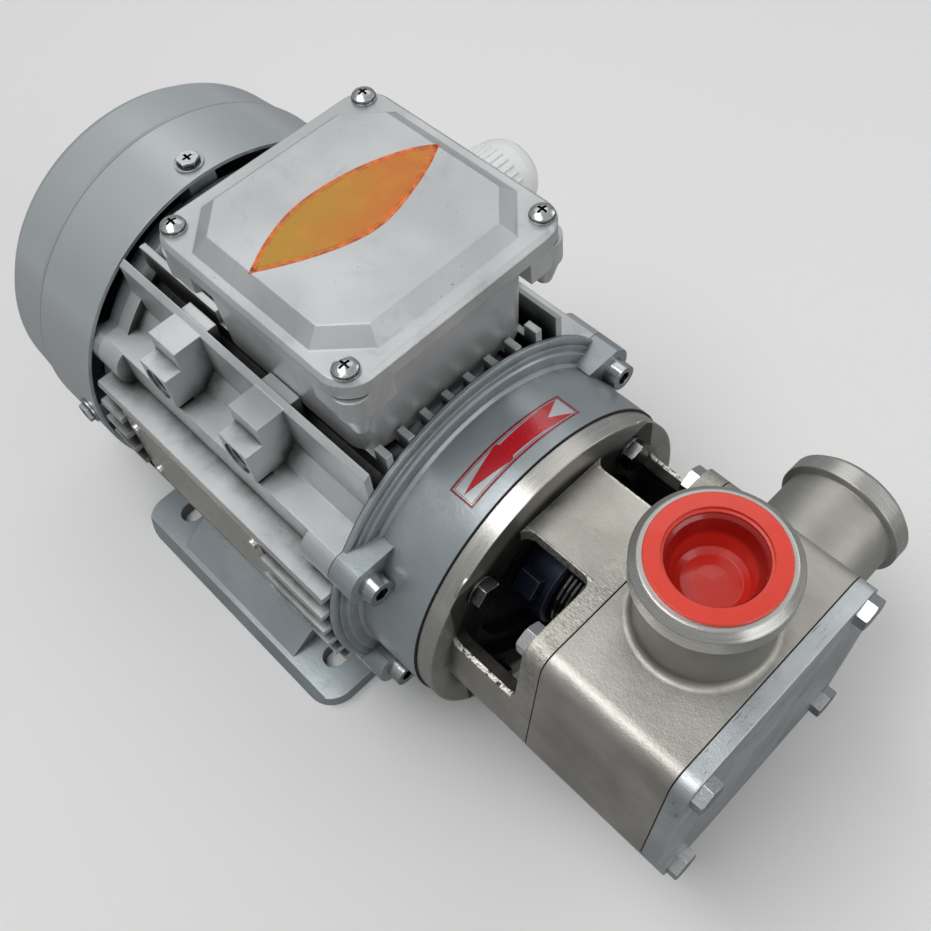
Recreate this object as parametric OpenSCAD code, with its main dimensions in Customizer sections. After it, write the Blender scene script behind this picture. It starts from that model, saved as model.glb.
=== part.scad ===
/* [Motor frame] */
// Height of the shaft axis above the floor
shaft_h = 80; // [78:1:84]
// Length of the finned frame
frame_l = 133; // [125:1:150]
// Distance from the foot slots' centre back to the rear end of the frame
frame_back = 57; // [54:1:61]
// Outside radius of the frame tube
frame_r = 65; // [64:0.5:67]
// Radius of the round envelope of the side fins
fin_r = 75.5; // [72:0.5:78]
// Radius of the round envelope of the upright fins
fin_top_r = 80; // [77:0.5:82]
// Height of the tips of the top fins over the axis
fin_top = 69; // [67:0.5:70]
// Depth of the flat tips of the bottom fins under the axis
fin_flat = 67; // [66:0.5:69]
// Thickness of a fin
fin_t = 2.6; // [2:0.1:3.5]
// Spacing of the fins
fin_pitch = 9.5; // [9:0.1:10.5]
// Radius of the ring at each end of the frame
end_ring_r = 71; // [70:0.5:73]
// Distance of the pads' centre ahead of the foot slots' centre
pad_ahead = 6.5; // [3:0.5:9]
// Half the spacing of the pads and foot bosses along the frame
pad_x = 22.5; // [20:0.5:27]
// Length and height of a side pad
pad_w = 15; // [14:0.5:17]
// Distance of the side pads' faces from the axis
pad_reach = 62; // [61:0.5:66]

/* [Nameplate] */
// Length of the blank nameplate
plate_l = 84; // [76:1:86]
// Height of the blank nameplate
plate_h = 41; // [36:1:43]
// Thickness of the nameplate
plate_t = 0.8; // [0.5:0.1:1]
// Distance of the nameplate's seat from the axis
plate_y = 71.2; // [69:0.2:73]

/* [Feet] */
// Half the spacing of the foot slots along the motor
foot_slot_x = 50; // [48:0.5:54]
// Half the spacing of the foot slots across the motor
foot_slot_y = 62.5; // [58:0.5:66]
// Width of a foot slot
foot_slot_w = 10; // [8:0.5:11]
// Length of a foot slot from end to end
foot_slot_l = 18; // [14:1:20]
// Thickness of the foot flange
foot_t = 7; // [6:0.5:8]
// Half the length of the foot's sloping web
foot_web = 38; // [36:0.5:40]
// Distance of the foot's outer edge from the middle
foot_edge = 84; // [80:1:90]
// Length of a foot
foot_l = 132; // [126:1:136]

/* [Stator and rotor] */
// Outside radius of the stator core
stator_r = 60; // [58:0.5:61]
// Length of the stator and rotor cores
core_l = 88; // [80:1:92]
// Radius of the rotor
rotor_r = 35; // [33:0.5:38]
// Air gap between rotor and stator
air_gap = 0.3; // [0.3:0.05:0.6]
// Overhang of a winding head
winding_l = 15; // [10:1:16]
// Radius of the shaft at the bearings
shaft_r = 10; // [10:0.1:10.2]
// Radius of the shaft's drive end
drive_r = 9.5; // [9:0.1:9.6]
// Outside radius of a ball bearing
bearing_r = 23.5; // [23:0.1:24.5]
// Width of a ball bearing
bearing_w = 14; // [13:0.5:15]

/* [Front end shield] */
// Radius of the painted drum
drum_r = 62; // [60:0.5:63]
// Distance from the frame's front end to the drum's front face
drum_l = 31.4; // [30:0.2:34]
// Length of the shield's ears
ear_l = 11; // [9:0.5:13]
// Wall of the end shields
shield_wall = 6; // [5:0.5:7]
// Distance of the ear screws from the axis, sideways
ear_y = 58; // [57.5:0.5:59]
// Distance of the ear screws from the axis, up and down
ear_z = 34; // [33:0.5:35]
// Radius of the spigot that centres the lantern
spigot_r = 40; // [38:0.5:42]

/* [Fan and cowl] */
// Outside radius of the cowl's front band
cowl_r = 77; // [76.5:0.1:78]
// Length of the cowl behind the frame's rear end
cowl_l = 68; // [66:1:74]
// Sheet thickness of the cowl
cowl_t = 1.5; // [1:0.1:1.6]
// Radius of the fan
fan_r = 62; // [55:1:66]
// Number of fan blades
fan_blades = 9; // [5:1:11]

/* [Terminal box] */
// Distance of the lid's centre ahead of the foot slots' centre
lid_ahead = 34; // [31:0.5:36]
// Length of the lid
lid_l = 93; // [91:0.5:97]
// Width of the lid
lid_w = 90; // [88:0.5:93]
// Corner radius of the lid
lid_corner = 11; // [8:0.5:13]
// Thickness of the lid's rim
lid_t = 6.6; // [5:0.2:8]
// Height of the lid's raised panel
panel_h = 4.6; // [3:0.1:5.5]
// Distance of the lid screws' centres from the lid's edges
lid_screw_in = 6.5; // [6:0.1:7]
// Height of the box body
box_h = 45.4; // [42:0.2:50]
// Wall of the box
box_wall = 3.5; // [3:0.1:4]
// Length of the terminal block
block_l = 52; // [48:1:60]
// Width of the terminal block
block_w = 32; // [28:1:40]
// Height of the terminal block
block_h = 12; // [8:0.5:14]

/* [Lantern] */
// Length of the lantern from the drum's face to the casing
lantern_l = 42.6; // [41:0.2:46]
// Radius of the lantern flange
lantern_flange_r = 61.2; // [60:0.2:63]
// Thickness of the lantern flange
lantern_flange_t = 7.1; // [6:0.1:8]
// Thickness of the plate that the casing bolts to
lantern_plate_t = 7.5; // [6.5:0.1:8.5]
// Width of each of the four arms
arm_w = 32; // [28:1:36]
// Shift of the upper arm towards the far side
arm_shift = 2.4; // [0:0.2:4]
// Wall of the arms
arm_t = 5.5; // [4.5:0.1:6]
// Pitch circle radius of the bolts in the lantern flange
flange_pcr = 50; // [49:0.5:52]

/* [Pump casing] */
// Half width of the casing's flat top
casing_top = 45; // [42:0.5:47]
// Half width of the casing at its widest
casing_mid = 53; // [52:0.5:56]
// Half width of the casing's flat bottom
casing_bottom = 46; // [43:0.5:48]
// Height of the casing's flat top above the axis
casing_half_h = 47; // [46:0.5:50]
// Depth of the casing's flat bottom below the axis
casing_low = 44; // [43.5:0.5:46]
// Radius of the casing's long edges
casing_edge_r = 7; // [6.6:0.1:9]
// Length of the casing
casing_l = 49; // [47:0.5:54]
// Thickness of the cover
cover_t = 6; // [5.5:0.5:9]
// Radius of the impeller chamber
chamber_r = 36; // [34:0.5:37]
// Thickness of the casing's back wall
back_wall = 4; // [3:0.5:5]
// Thickness of the wear plate
wear_t = 2; // [1.5:0.1:2.5]

/* [Ports] */
// Distance of the ports from the casing's back face
port_x = 24; // [23.5:0.5:26]
// Bore radius of the ports
port_bore = 17.5; // [15:0.5:17.5]
// Radius of the port's rim
port_rim = 23.8; // [23.4:0.1:24.4]
// Radius of the port's neck
port_neck = 21.3; // [20:0.1:22.6]
// Length of the port's rim
port_rim_l = 9; // [6:0.5:12]
// Bevel at the rim's outer edge
port_bevel = 2.4; // [1.5:0.1:2.6]
// Radius of the fillet where a port leaves the casing
port_fillet = 2.5; // [1.5:0.5:4]
// Height of the top port's rim above the axis
port_up = 85; // [80:1:96]
// Distance of the side port's rim from the axis
port_side = 91; // [84:1:98]

/* [Impeller and seal] */
// Number of vanes
vanes = 6; // [6:1:8]
// Thickness of a vane
vane_t = 3; // [2:0.1:3.4]
// Radius of the rubber hub
impeller_hub_r = 19; // [17:0.5:20]
// Height of the cam over the chamber wall
cam_h = 6; // [4:0.2:6.5]
// Radius of the pump shaft's hub
hub_r = 18; // [16:0.5:19]
// Length of the pump shaft's hub
hub_l = 15; // [12:0.5:16]
// Radius of the pump shaft at the seal
seal_r = 12.5; // [12:0.1:13]
// Turns of the seal spring
spring_turns = 4; // [3:1:5]
// Wire radius of the seal spring
spring_wire = 0.9; // [0.7:0.05:1]

/* [Hidden] */
$fn = 64;

// stations along the shaft, from the midpoint of the front foot slots
foot_cx = -foot_slot_x;
pad_cx = foot_cx + pad_ahead;
frame_x0 = foot_cx - frame_back;
frame_x1 = frame_x0 + frame_l;
register_l = 9;
register_r = stator_r + 1;
drum_x = frame_x1 + drum_l;
ear_x = frame_x1 + ear_l;
core_x = (frame_x0 + frame_x1) / 2 - core_l / 2;
front_bearing_x = drum_x - 8.4 - bearing_w;
rear_bearing_x = frame_x0 - 4 - bearing_w;
rear_web_x = rear_bearing_x - 3.6;
fan_x = rear_web_x - 9;
cowl_x0 = frame_x0 - cowl_l;
cowl_screw_x = rear_bearing_x + 5.5;
lantern_x1 = drum_x + lantern_l;
plate_x = lantern_x1 - lantern_plate_t;
casing_x1 = lantern_x1 + casing_l;
cover_x1 = casing_x1 + cover_t;
chamber_x = lantern_x1 + back_wall + wear_t;
port_cx = lantern_x1 + port_x;

// fits and small details
clear = 0.1;
slip = 0.3;
fit = 0.02;
thread_clear = 0.3;
spigot_l = 3;

// screw sizes: shank radius, head radius, head height, key width
m5 = [2.5, 4.25, 5, 4];
m6 = [3, 5, 6, 5];
m8 = [4, 6.5, 8, 6];
hex6 = [3, 5.77, 4];

// shaft and bearings
rotor_shaft_r = shaft_r + 2.5;
tail_r = shaft_r - 2;
inner_ring_r = shaft_r + 3.8;
outer_ring_r = bearing_r - 3.8;
ball_pcr = (shaft_r + bearing_r) / 2;
lip_seal_r = bearing_r - 6;
ball_count = 8;
race_r = 4.1;
ball_r = race_r - 0.25;
shaft_end_x = plate_x + 4;

// nameplate
plate_x0 = foot_cx - plate_l / 2;
plate_z = shaft_h - plate_h / 2;
rivet_r = 1.2;
rivet_in = 6;

// pump shaft, seal and impeller stations
hub_x = drum_x + 2;
sleeve_x = hub_x + hub_l;
seat_x = plate_x + 0.7;
seat_l = 5.8;
seat_r = seal_r + 5;
ring_l = 9;
ring_x = seat_x - clear - ring_l;
spring_l = ring_x - sleeve_x;
casing_spigot_r = seat_r + 6.5;
journal_r = seal_r - 2.5;
journal_x = chamber_x + 1;
nose_x = casing_x1 - 3;
insert_r = impeller_hub_r - 5;
insert_x = chamber_x + 2;
insert_l = casing_x1 - 3 - insert_x;
key_w = 5;
rotor_key_w = 6;
impeller_x = chamber_x + clear;
impeller_l = casing_x1 - clear - impeller_x;

// cam between the top port and the side port
cam_angle = 45;
cam_half_angle = 16;
cam_r = chamber_r - clear;
cam_chord = cam_r * sin(cam_half_angle);
cam_sag = cam_h - cam_r * (1 - cos(cam_half_angle));
cam_arc_r = (cam_chord * cam_chord + cam_sag * cam_sag) / (2 * cam_sag);
cam_centre = chamber_r - cam_h + cam_arc_r;

// casing outline: centres of its rounded corners, from the axis
edge_y_top = casing_top - casing_edge_r;
edge_y_mid = casing_mid - casing_edge_r;
edge_y_low = casing_bottom - casing_edge_r;
edge_z = casing_half_h - casing_edge_r;
edge_z_low = casing_low - casing_edge_r;
mid_drop = 2;
corners = [[-edge_y_low, -edge_z_low], [edge_y_low, -edge_z_low], [edge_y_mid, -mid_drop],
    [edge_y_top, edge_z], [-edge_y_top, edge_z], [-edge_y_mid, -mid_drop]];
tie_points = [corners[0], corners[1], corners[3], corners[4]];

// terminal box
platform_z = shaft_h + frame_r - 2;
box_top = platform_z + box_h;
gasket_t = 1;
lid_z = box_top + gasket_t;
lid_x = foot_cx + lid_ahead;
box_l = lid_l - 12;
lug_h = 9;
block_slot_x = 12;
stud_x = block_l / 2 - 5;
box_w = lid_w - 14;
box_corner = lid_corner - 1;
box_x = lid_x - 4;
gland_x = lid_x + 1;
gland_z = box_top - 16;
gland_r = 9;
nut_r = 13.2;
gland_y = box_w / 2;
lead_r = 9;

// feet
pad_z = 51;
boss_y0 = 37;
boss_w = 18;
boss_y = boss_y0 + boss_w / 2;
foot_top = shaft_h - fin_flat - slip;
foot_in = boss_y0;
foot_screw_z = 0.8;

function unit(v) = v / norm(v);

// closed outline whose corners are arcs of one radius round the given centres, listed anticlockwise
module rounded(points, r) {
    n = len(points);
    polygon([for (i = [0:n - 1])
        let (a = points[i], b = points[(i + 1) % n], d = unit(b - a), out = [d[1], -d[0]])
        each [a + r * out, b + r * out]]);
    for (p = points) translate(p) circle(r);
}

module rounded_box(l, w, r) {
    x = l / 2 - r;
    y = w / 2 - r;
    rounded([[-x, -y], [x, -y], [x, y], [-x, y]], r);
}

// a flat outline drawn in Y and Z, from the axis, and drawn out along X
module along_x(x, l) {
    translate([x, 0, shaft_h]) rotate([90, 0, 90]) linear_extrude(l) children();
}

// a round bar on the shaft axis
module bar(x0, x1, r) {
    translate([x0, 0, shaft_h]) rotate([0, 90, 0]) cylinder(r = r, h = x1 - x0);
}

module tube(x0, x1, r0, r1) {
    difference() {
        bar(x0, x1, r1);
        bar(x0 - 1, x1 + 1, r0);
    }
}

// a profile of radius and distance along X, turned round the shaft axis
module turned(x = 0) {
    translate([x, 0, shaft_h]) rotate([0, 90, 0]) rotate_extrude() children();
}

// children placed round the shaft axis, the angle counted from the far side upwards
module at_angle(a, r, x) {
    translate([x, 0, shaft_h]) rotate([a, 0, 0]) translate([0, r, 0]) children();
}

// a round bar along X at a point of the section
module rod(p, x0, x1, r) {
    translate([x0, p[0], shaft_h + p[1]]) rotate([0, 90, 0]) cylinder(r = r, h = x1 - x0, $fn = 32);
}

// socket head screw along -Z, the underside of its head at z = 0
module socket_screw(m, l) {
    difference() {
        union() {
            translate([0, 0, -l]) cylinder(r = m[0] - thread_clear / 2, h = l + 0.1, $fn = 24);
            cylinder(r = m[1], h = m[2], $fn = 48);
        }
        translate([0, 0, m[2] / 2]) cylinder(d = m[3] * 1.1547, h = m[2], $fn = 6);
    }
}

// hexagon on z = 0 with the corners of its upper face bevelled
module hex_head(r, t) {
    intersection() {
        cylinder(r = r, h = t, $fn = 6);
        cylinder(r1 = 0.92 * r + 1.7 * t, r2 = 0.92 * r, h = t, $fn = 48);
    }
}

// hexagon head screw along -Z, the underside of its head at z = 0
module hex_screw(h, l) {
    translate([0, 0, -l]) cylinder(r = h[0] - thread_clear / 2, h = l + 0.1, $fn = 24);
    hex_head(h[1], h[2]);
}

// pan head screw with a cross recess along -Z
module pan_screw(r, head_r, head_h, l) {
    difference() {
        union() {
            translate([0, 0, -l]) cylinder(r = r, h = l + 0.1, $fn = 24);
            rotate_extrude() intersection() {
                translate([0, head_h - head_r * 1.6]) circle(head_r * 1.6);
                square([head_r, head_h]);
            }
        }
        for (a = [0, 90]) rotate(a) translate([-head_r / 2, -head_r / 9, head_h / 2])
            cube([head_r, head_r / 4.5, head_h]);
    }
}

module frame_section() {
    circle(frame_r);
    intersection() {
        circle(fin_top_r);
        translate([-fin_top_r, -fin_flat]) square([2 * fin_top_r, fin_flat + fin_top]);
        for (k = [-4.5:4.5]) translate([k * fin_pitch, 0]) square([fin_t, 2 * fin_top_r], center = true);
    }
    intersection() {
        circle(fin_r);
        for (k = [-2.5:2.5]) translate([0, k * fin_pitch]) square([2 * fin_r, fin_t], center = true);
    }
    for (s = [-1, 1], t = [-1, 1]) scale([s, t]) translate([38, ear_z - 6]) square([ear_y - 35, 14]);
}

// lobe round one ear screw, with the flat top of the rail
module ear_section() {
    for (s = [-1, 1], t = [-1, 1]) scale([s, t]) {
        intersection() {
            translate([ear_y, ear_z]) circle(8.4);
            square([80, ear_z + 8]);
        }
        translate([ear_y - 12, ear_z - 8]) square([15, 16]);
    }
}

module motor_frame() {
    color([0.68, 0.71, 0.73]) difference() {
        union() {
            difference() {
                along_x(frame_x0, frame_l) frame_section();
                translate([box_x - box_l / 2 - 1, -box_w / 2 - 1, platform_z]) cube([box_l + 1, box_w + 2, fin_r]);
                translate([plate_x0 - 1, -plate_y - 20, plate_z - 1]) cube([plate_l + 2, 20, plate_h + 2]);
            }
            translate([plate_x0 - 1, -plate_y, plate_z - 1]) cube([plate_l + 2, 20, plate_h + 2]);
            bar(frame_x1 - 3.5, frame_x1, frame_r + 1);
            bar(frame_x0, frame_x0 + 6, end_ring_r - 2);
            along_x(frame_x1 - 14, 14) ear_section();
            along_x(frame_x0, 12) ear_section();
            translate([box_x - box_l / 2 + 4.5, 4 - box_w / 2, shaft_h + 40])
                cube([box_l - 9, box_w - 8, platform_z - shaft_h - 40]);
            for (sx = [-1, 1], sy = [-1, 1], sz = [-1, 1]) translate([pad_cx, 0, shaft_h]) scale([1, sy, sz]) {
                translate([sx * pad_x - pad_w / 2, pad_reach - 20, pad_z - pad_w / 2]) cube([pad_w, 20, pad_w]);
                translate([sx * pad_x - pad_w / 2, boss_y0, 30]) cube([pad_w, boss_w, fin_flat - 30]);
            }
        }
        bar(frame_x0 - 1, frame_x1 + 1, stator_r + fit);
        bar(frame_x0 - 1, frame_x0 + register_l, register_r);
        bar(frame_x1 - register_l, frame_x1 + 1, register_r);
        translate([box_x, 0, shaft_h]) cylinder(r = lead_r, h = fin_r, $fn = 32);
        for (s = [-1, 1], t = [-1, 1]) {
            rod([s * ear_y, t * ear_z], frame_x1 - 13, frame_x1 + 1, m6[0]);
            rod([s * ear_y, t * ear_z], frame_x0 - 1, frame_x0 + 12, m5[0]);
        }
        for (sx = [-1, 1], sy = [-1, 1]) translate([pad_cx, 0, shaft_h]) scale([1, sy, 1]) {
            for (sz = [-1, 1]) translate([sx * pad_x, 0, sz * pad_z]) rotate([-90, 0, 0]) {
                translate([0, 0, pad_reach - 10]) cylinder(r = m8[0], h = 12, $fn = 32);
                translate([0, 0, pad_reach - 1]) cylinder(r = pad_w / 2 - 1.2, h = 3, $fn = 32);
            }
            translate([sx * pad_x, boss_y, -fin_flat - 2]) cylinder(r = m8[0], h = 14, $fn = 32);
        }
        rivet_spots() translate([0, 0, -5]) cylinder(r = rivet_r + clear, h = 6, $fn = 20);
    }
}

module rivet_spots() {
    for (s = [-1, 1], t = [-1, 1])
        translate([foot_cx + s * (plate_l / 2 - rivet_in), -plate_y, shaft_h + t * (plate_h / 2 - rivet_in)])
            rotate([90, 0, 0]) children();
}

module nameplate() {
    color([0.8, 0.81, 0.8]) difference() {
        translate([plate_x0, -plate_y - plate_t, plate_z]) cube([plate_l, plate_t, plate_h]);
        rivet_spots() translate([0, 0, -1]) cylinder(r = rivet_r + clear, h = plate_t + 2, $fn = 20);
    }
}

module nameplate_rivets() {
    color([0.6, 0.61, 0.62]) rivet_spots() {
        translate([0, 0, -4]) cylinder(r = rivet_r, h = plate_t + 4.1, $fn = 20);
        translate([0, 0, plate_t]) cylinder(r = 2.2, h = 0.9, $fn = 24);
    }
}

module stator_core() {
    color([0.35, 0.36, 0.38]) tube(core_x, core_x + core_l, rotor_r + air_gap, stator_r);
}

module stator_windings() {
    color([0.72, 0.4, 0.2]) for (x = [core_x - winding_l, core_x + core_l])
        turned(x) translate([rotor_r + 6, 0]) rounded_strip(stator_r - rotor_r - 10, winding_l, 3);
}

module rounded_strip(w, l, r) {
    rounded([[r, r], [w - r, r], [w - r, l - r], [r, l - r]], r);
}

module rotor_core() {
    color([0.4, 0.41, 0.43]) tube(core_x, core_x + core_l, rotor_shaft_r + fit, rotor_r);
}

module rotor_end_rings() {
    color([0.78, 0.79, 0.8]) for (x = [core_x - 9, core_x + core_l]) {
        tube(x, x + 9, rotor_r - 13, rotor_r - 1);
    }
}

module motor_shaft() {
    color([0.62, 0.63, 0.65]) difference() {
        union() {
            bar(core_x - 14, core_x + core_l + 14, rotor_shaft_r);
            bar(rear_bearing_x - 2, drum_x, shaft_r);
            bar(fan_x - 22, rear_bearing_x, tail_r);
            bar(drum_x - 1, shaft_end_x - 1, drive_r);
            translate([shaft_end_x - 1, 0, shaft_h]) rotate([0, 90, 0]) cylinder(r1 = drive_r, r2 = drive_r - 1, h = 1);
        }
        tube(fan_x - 20.2, fan_x - 18.9, tail_r - 0.6, tail_r + 2);
        translate([hub_x, -rotor_key_w / 2, shaft_h + drive_r - 3]) cube([30, rotor_key_w, 10]);
    }
}

module shaft_key() {
    color([0.5, 0.5, 0.52]) translate([hub_x + clear, -rotor_key_w / 2 + fit, shaft_h + drive_r - 3 + fit])
        cube([24, rotor_key_w - 2 * fit, rotor_key_w - 0.6]);
}

module bearing_outer(x) {
    color([0.75, 0.76, 0.78]) difference() {
        tube(x, x + bearing_w, outer_ring_r, bearing_r);
        turned(x + bearing_w / 2) translate([ball_pcr, 0]) circle(race_r);
    }
}

module bearing_inner(x) {
    color([0.75, 0.76, 0.78]) difference() {
        tube(x, x + bearing_w, shaft_r + fit, inner_ring_r);
        turned(x + bearing_w / 2) translate([ball_pcr, 0]) circle(race_r);
    }
}

module bearing_balls(x) {
    color([0.85, 0.86, 0.88]) {
        for (i = [0:ball_count - 1]) at_angle(i * 360 / ball_count, ball_pcr, x + bearing_w / 2) sphere(ball_r);
        tube(x + bearing_w / 2 - 0.6, x + bearing_w / 2 + 0.6, ball_pcr - 1, ball_pcr + 1);
    }
}

module front_bearing_outer() { bearing_outer(front_bearing_x); }
module front_bearing_inner() { bearing_inner(front_bearing_x); }
module front_bearing_balls() { bearing_balls(front_bearing_x); }
module rear_bearing_outer() { bearing_outer(rear_bearing_x); }
module rear_bearing_inner() { bearing_inner(rear_bearing_x); }
module rear_bearing_balls() { bearing_balls(rear_bearing_x); }

module preload_washer() {
    color([0.5, 0.51, 0.53]) tube(rear_bearing_x - 0.9, rear_bearing_x - 0.1, outer_ring_r + 0.5, bearing_r - 0.3);
}

// bell of the front shield as radius against distance from the frame's front end
module front_bell() {
    polygon([[register_r - 3.5, -register_l], [register_r - clear, -register_l], [register_r - clear, 0],
        [end_ring_r + 1, 0], [end_ring_r + 1, 1.6], [end_ring_r, 2], [end_ring_r - 1.6, 2], [end_ring_r - 1.6, 3],
        [drum_r + 5, 3], [drum_r + 4.6, 3.8], [drum_r + 1, 4.4], [drum_r, 5.4],
        [drum_r, drum_l], [spigot_r, drum_l], [spigot_r, drum_l + spigot_l], [spigot_r - 6, drum_l + spigot_l],
        [spigot_r - 6, drum_l - shield_wall], [drum_r - shield_wall, drum_l - shield_wall - 3],
        [drum_r - shield_wall, 4], [register_r - 3.5, 2]]);
}

module front_end_shield() {
    color([0.66, 0.7, 0.73]) difference() {
        union() {
            turned(frame_x1) front_bell();
            bar(front_bearing_x - 2, drum_x - 0.6, spigot_r - 5);
            difference() {
                along_x(frame_x1, ear_l) ear_section();
                bar(frame_x1 - 1, ear_x + 1, drum_r - 2);
            }
            for (a = [0:60:300]) at_angle(a, 40, drum_x - 22) translate([0, -15, -2.5]) cube([16, 30, 5]);
        }
        bar(front_bearing_x - 3, front_bearing_x + bearing_w, bearing_r + fit);
        bar(front_bearing_x, drum_x - 7, shaft_r + 4);
        bar(drum_x - 7, drum_x + 1, lip_seal_r + fit);
        for (s = [-1, 1], t = [-1, 1]) {
            rod([s * ear_y, t * ear_z], frame_x1 - 1, ear_x + 1, m6[0] + slip);
            rod([s * ear_y, t * ear_z], ear_x, ear_x + m6[2] + 1, m6[1] + slip);
        }
        for (a = [45:90:315]) at_angle(a, flange_pcr, drum_x - 12) rotate([0, 90, 0]) cylinder(r = 3, h = 13, $fn = 32);
    }
}

module front_shield_screws() {
    color([0.78, 0.79, 0.8]) for (s = [-1, 1], t = [-1, 1])
        translate([ear_x, s * ear_y, shaft_h + t * ear_z]) rotate([0, 90, 0]) socket_screw(m6, ear_l + 11);
}

module rear_end_shield() {
    color([0.66, 0.7, 0.73]) difference() {
        union() {
            bar(frame_x0 - 6, frame_x0, end_ring_r - 2);
            bar(rear_web_x + 2, frame_x0 - 5, register_r - 3.5);
            bar(frame_x0 - 1, frame_x0 + register_l - 1, register_r - clear);
            bar(rear_web_x, rear_web_x + 12, bearing_r + 6);
            intersection() {
                bar(cowl_screw_x - 6, frame_x0, cowl_r - cowl_t - clear);
                union() {
                    along_x(frame_x0 - 6, 6) ear_section();
                    for (a = [0:90:270]) at_angle(a, 48, cowl_screw_x) translate([-6, 0, -6]) cube([12, 40, 12]);
                }
            }
        }
        difference() {
            bar(rear_web_x + 7, frame_x0 + register_l, register_r - 7);
            bar(rear_web_x, frame_x0 - 2, bearing_r + 6);
        }
        bar(frame_x0 - 1, frame_x0 + register_l, register_r - 3.5);
        bar(rear_bearing_x - 1, frame_x0 + register_l, bearing_r + fit);
        bar(rear_web_x - 1, rear_bearing_x, shaft_r + 3);
        for (s = [-1, 1], t = [-1, 1]) rod([s * ear_y, t * ear_z], frame_x0 - 7, frame_x0 + 1, m5[0] + slip);
        for (a = [0:90:270]) at_angle(a, cowl_r - 14, cowl_screw_x) rotate([-90, 0, 0])
            cylinder(r = m5[0], h = 16, $fn = 32);
    }
}

module rear_shield_screws() {
    color([0.78, 0.79, 0.8]) for (s = [-1, 1], t = [-1, 1])
        translate([frame_x0 - 6, s * ear_y, shaft_h + t * ear_z]) rotate([0, -90, 0]) socket_screw(m5, 16);
}

module shaft_seal() {
    color([0.15, 0.15, 0.16]) difference() {
        tube(drum_x - 6.9, drum_x - 0.2, shaft_r + 0.05, lip_seal_r);
        tube(drum_x - 1.6, drum_x, shaft_r + 2, lip_seal_r - 2);
    }
}

module cooling_fan() {
    color([0.2, 0.21, 0.22]) difference() {
        union() {
            bar(fan_x - 18, fan_x, tail_r + 6);
            bar(fan_x - 2, fan_x, fan_r - 3);
            for (i = [0:fan_blades - 1]) at_angle(i * 360 / fan_blades, tail_r + 5, fan_x) translate([-16, 0, -1])
                cube([15, fan_r - tail_r - 5, 2]);
        }
        bar(fan_x - 19, fan_x + 1, tail_r + fit);
    }
}

module fan_circlip() {
    color([0.3, 0.3, 0.32]) difference() {
        tube(fan_x - 20, fan_x - 19, tail_r - 0.5, tail_r + 3);
        translate([fan_x - 21, -2, shaft_h + 2]) cube([3, 4, 20]);
    }
}

// cowl as radius against distance from its rear face
module cowl_profile() {
    step_x = cowl_l - 38;
    polygon([[0, 0], [cowl_r - 9, 0], [cowl_r - 5, 1.8], [cowl_r - 2.6, 6], [cowl_r - 1.2, step_x - 3],
        [cowl_r, step_x], [cowl_r, cowl_l - 4], [cowl_r - cowl_t, cowl_l - 4], [cowl_r - cowl_t, step_x],
        [cowl_r - 1.2 - cowl_t, step_x - 3], [cowl_r - 2.6 - cowl_t, 6.4], [cowl_r - 5.6 - cowl_t, cowl_t + 1.4],
        [cowl_r - 9.6, cowl_t], [0, cowl_t]]);
}

module fan_cowl() {
    color([0.7, 0.73, 0.76]) difference() {
        turned(cowl_x0) cowl_profile();
        for (i = [1:5], k = [0:6 * i - 1]) at_angle(k * 60 / i, 10.4 * i, cowl_x0 - 1) rotate([0, 90, 0])
            cylinder(r = 3.6, h = cowl_t + 2, $fn = 24);
        for (a = [0:90:270]) at_angle(a, cowl_r - 4, cowl_screw_x) rotate([-90, 0, 0])
            cylinder(r = m5[0] + 0.2, h = 6, $fn = 32);
    }
}

module cowl_screws() {
    color([0.8, 0.81, 0.82]) for (a = [0:90:270]) at_angle(a, cowl_r, cowl_screw_x) rotate([-90, 0, 0]) {
        translate([0, 0, -10]) cylinder(r = m5[0] - thread_clear / 2, h = 10.1, $fn = 24);
        translate([0, 0, 0.05]) cylinder(r = 5.6, h = 0.8, $fn = 48);
        difference() {
            translate([0, 0, 0.8]) hex_head(4.4, 2.05);
            for (b = [0, 90]) rotate(b) translate([-2, -0.5, 1.7]) cube([4, 1, 3]);
        }
    }
}

// section of a foot in Y and Z: flange, sloping web and the block under the frame's bosses
module foot_section() {
    web_y = boss_y0 + boss_w + 1.5;
    polygon([[foot_in, 0], [foot_edge, 0], [foot_edge, 2], [foot_edge - 3, foot_t], [foot_edge - 5, foot_t],
        [web_y + 1.5, foot_t + 13.5], [web_y, foot_t + 13.5], [web_y, foot_top], [foot_in, foot_top]]);
}

module foot(side) {
    color([0.7, 0.73, 0.75]) scale([1, side, 1]) difference() {
        intersection() {
            translate([foot_cx - foot_l / 2, 0, 0]) rotate([90, 0, 90]) linear_extrude(foot_l) foot_section();
            translate([foot_cx, foot_edge - 50, 0]) linear_extrude(60) rounded_box(foot_l, 100, 12);
        }
        for (s = [-1, 1]) translate([foot_cx + s * foot_slot_x, foot_slot_y, -1]) linear_extrude(60) {
            e = (foot_slot_l - foot_slot_w) / 2;
            for (t = [-1, 1]) translate([0, t * e]) circle(foot_slot_w / 2);
            square([foot_slot_w, 2 * e], center = true);
        }
        for (s = [-1, 1]) translate([foot_cx, 0, 0]) scale([s, 1, 1]) translate([foot_web, foot_in - 1, foot_t])
            cube([foot_l, foot_edge, 60]);
        for (s = [-1, 1]) translate([pad_cx + s * pad_x, boss_y, -1]) {
            cylinder(r = m8[0] + slip, h = 30, $fn = 32);
            cylinder(r = m8[1] + 0.8, h = 1 + foot_screw_z + m8[2], $fn = 32);
        }
    }
}

module foot_left() { foot(1); }
module foot_right() { foot(-1); }

module foot_screws() {
    color([0.6, 0.61, 0.62]) for (s = [-1, 1], t = [-1, 1])
        translate([pad_cx + s * pad_x, t * boss_y, foot_screw_z + m8[2]]) rotate([180, 0, 0]) socket_screw(m8, 14);
}

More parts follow.
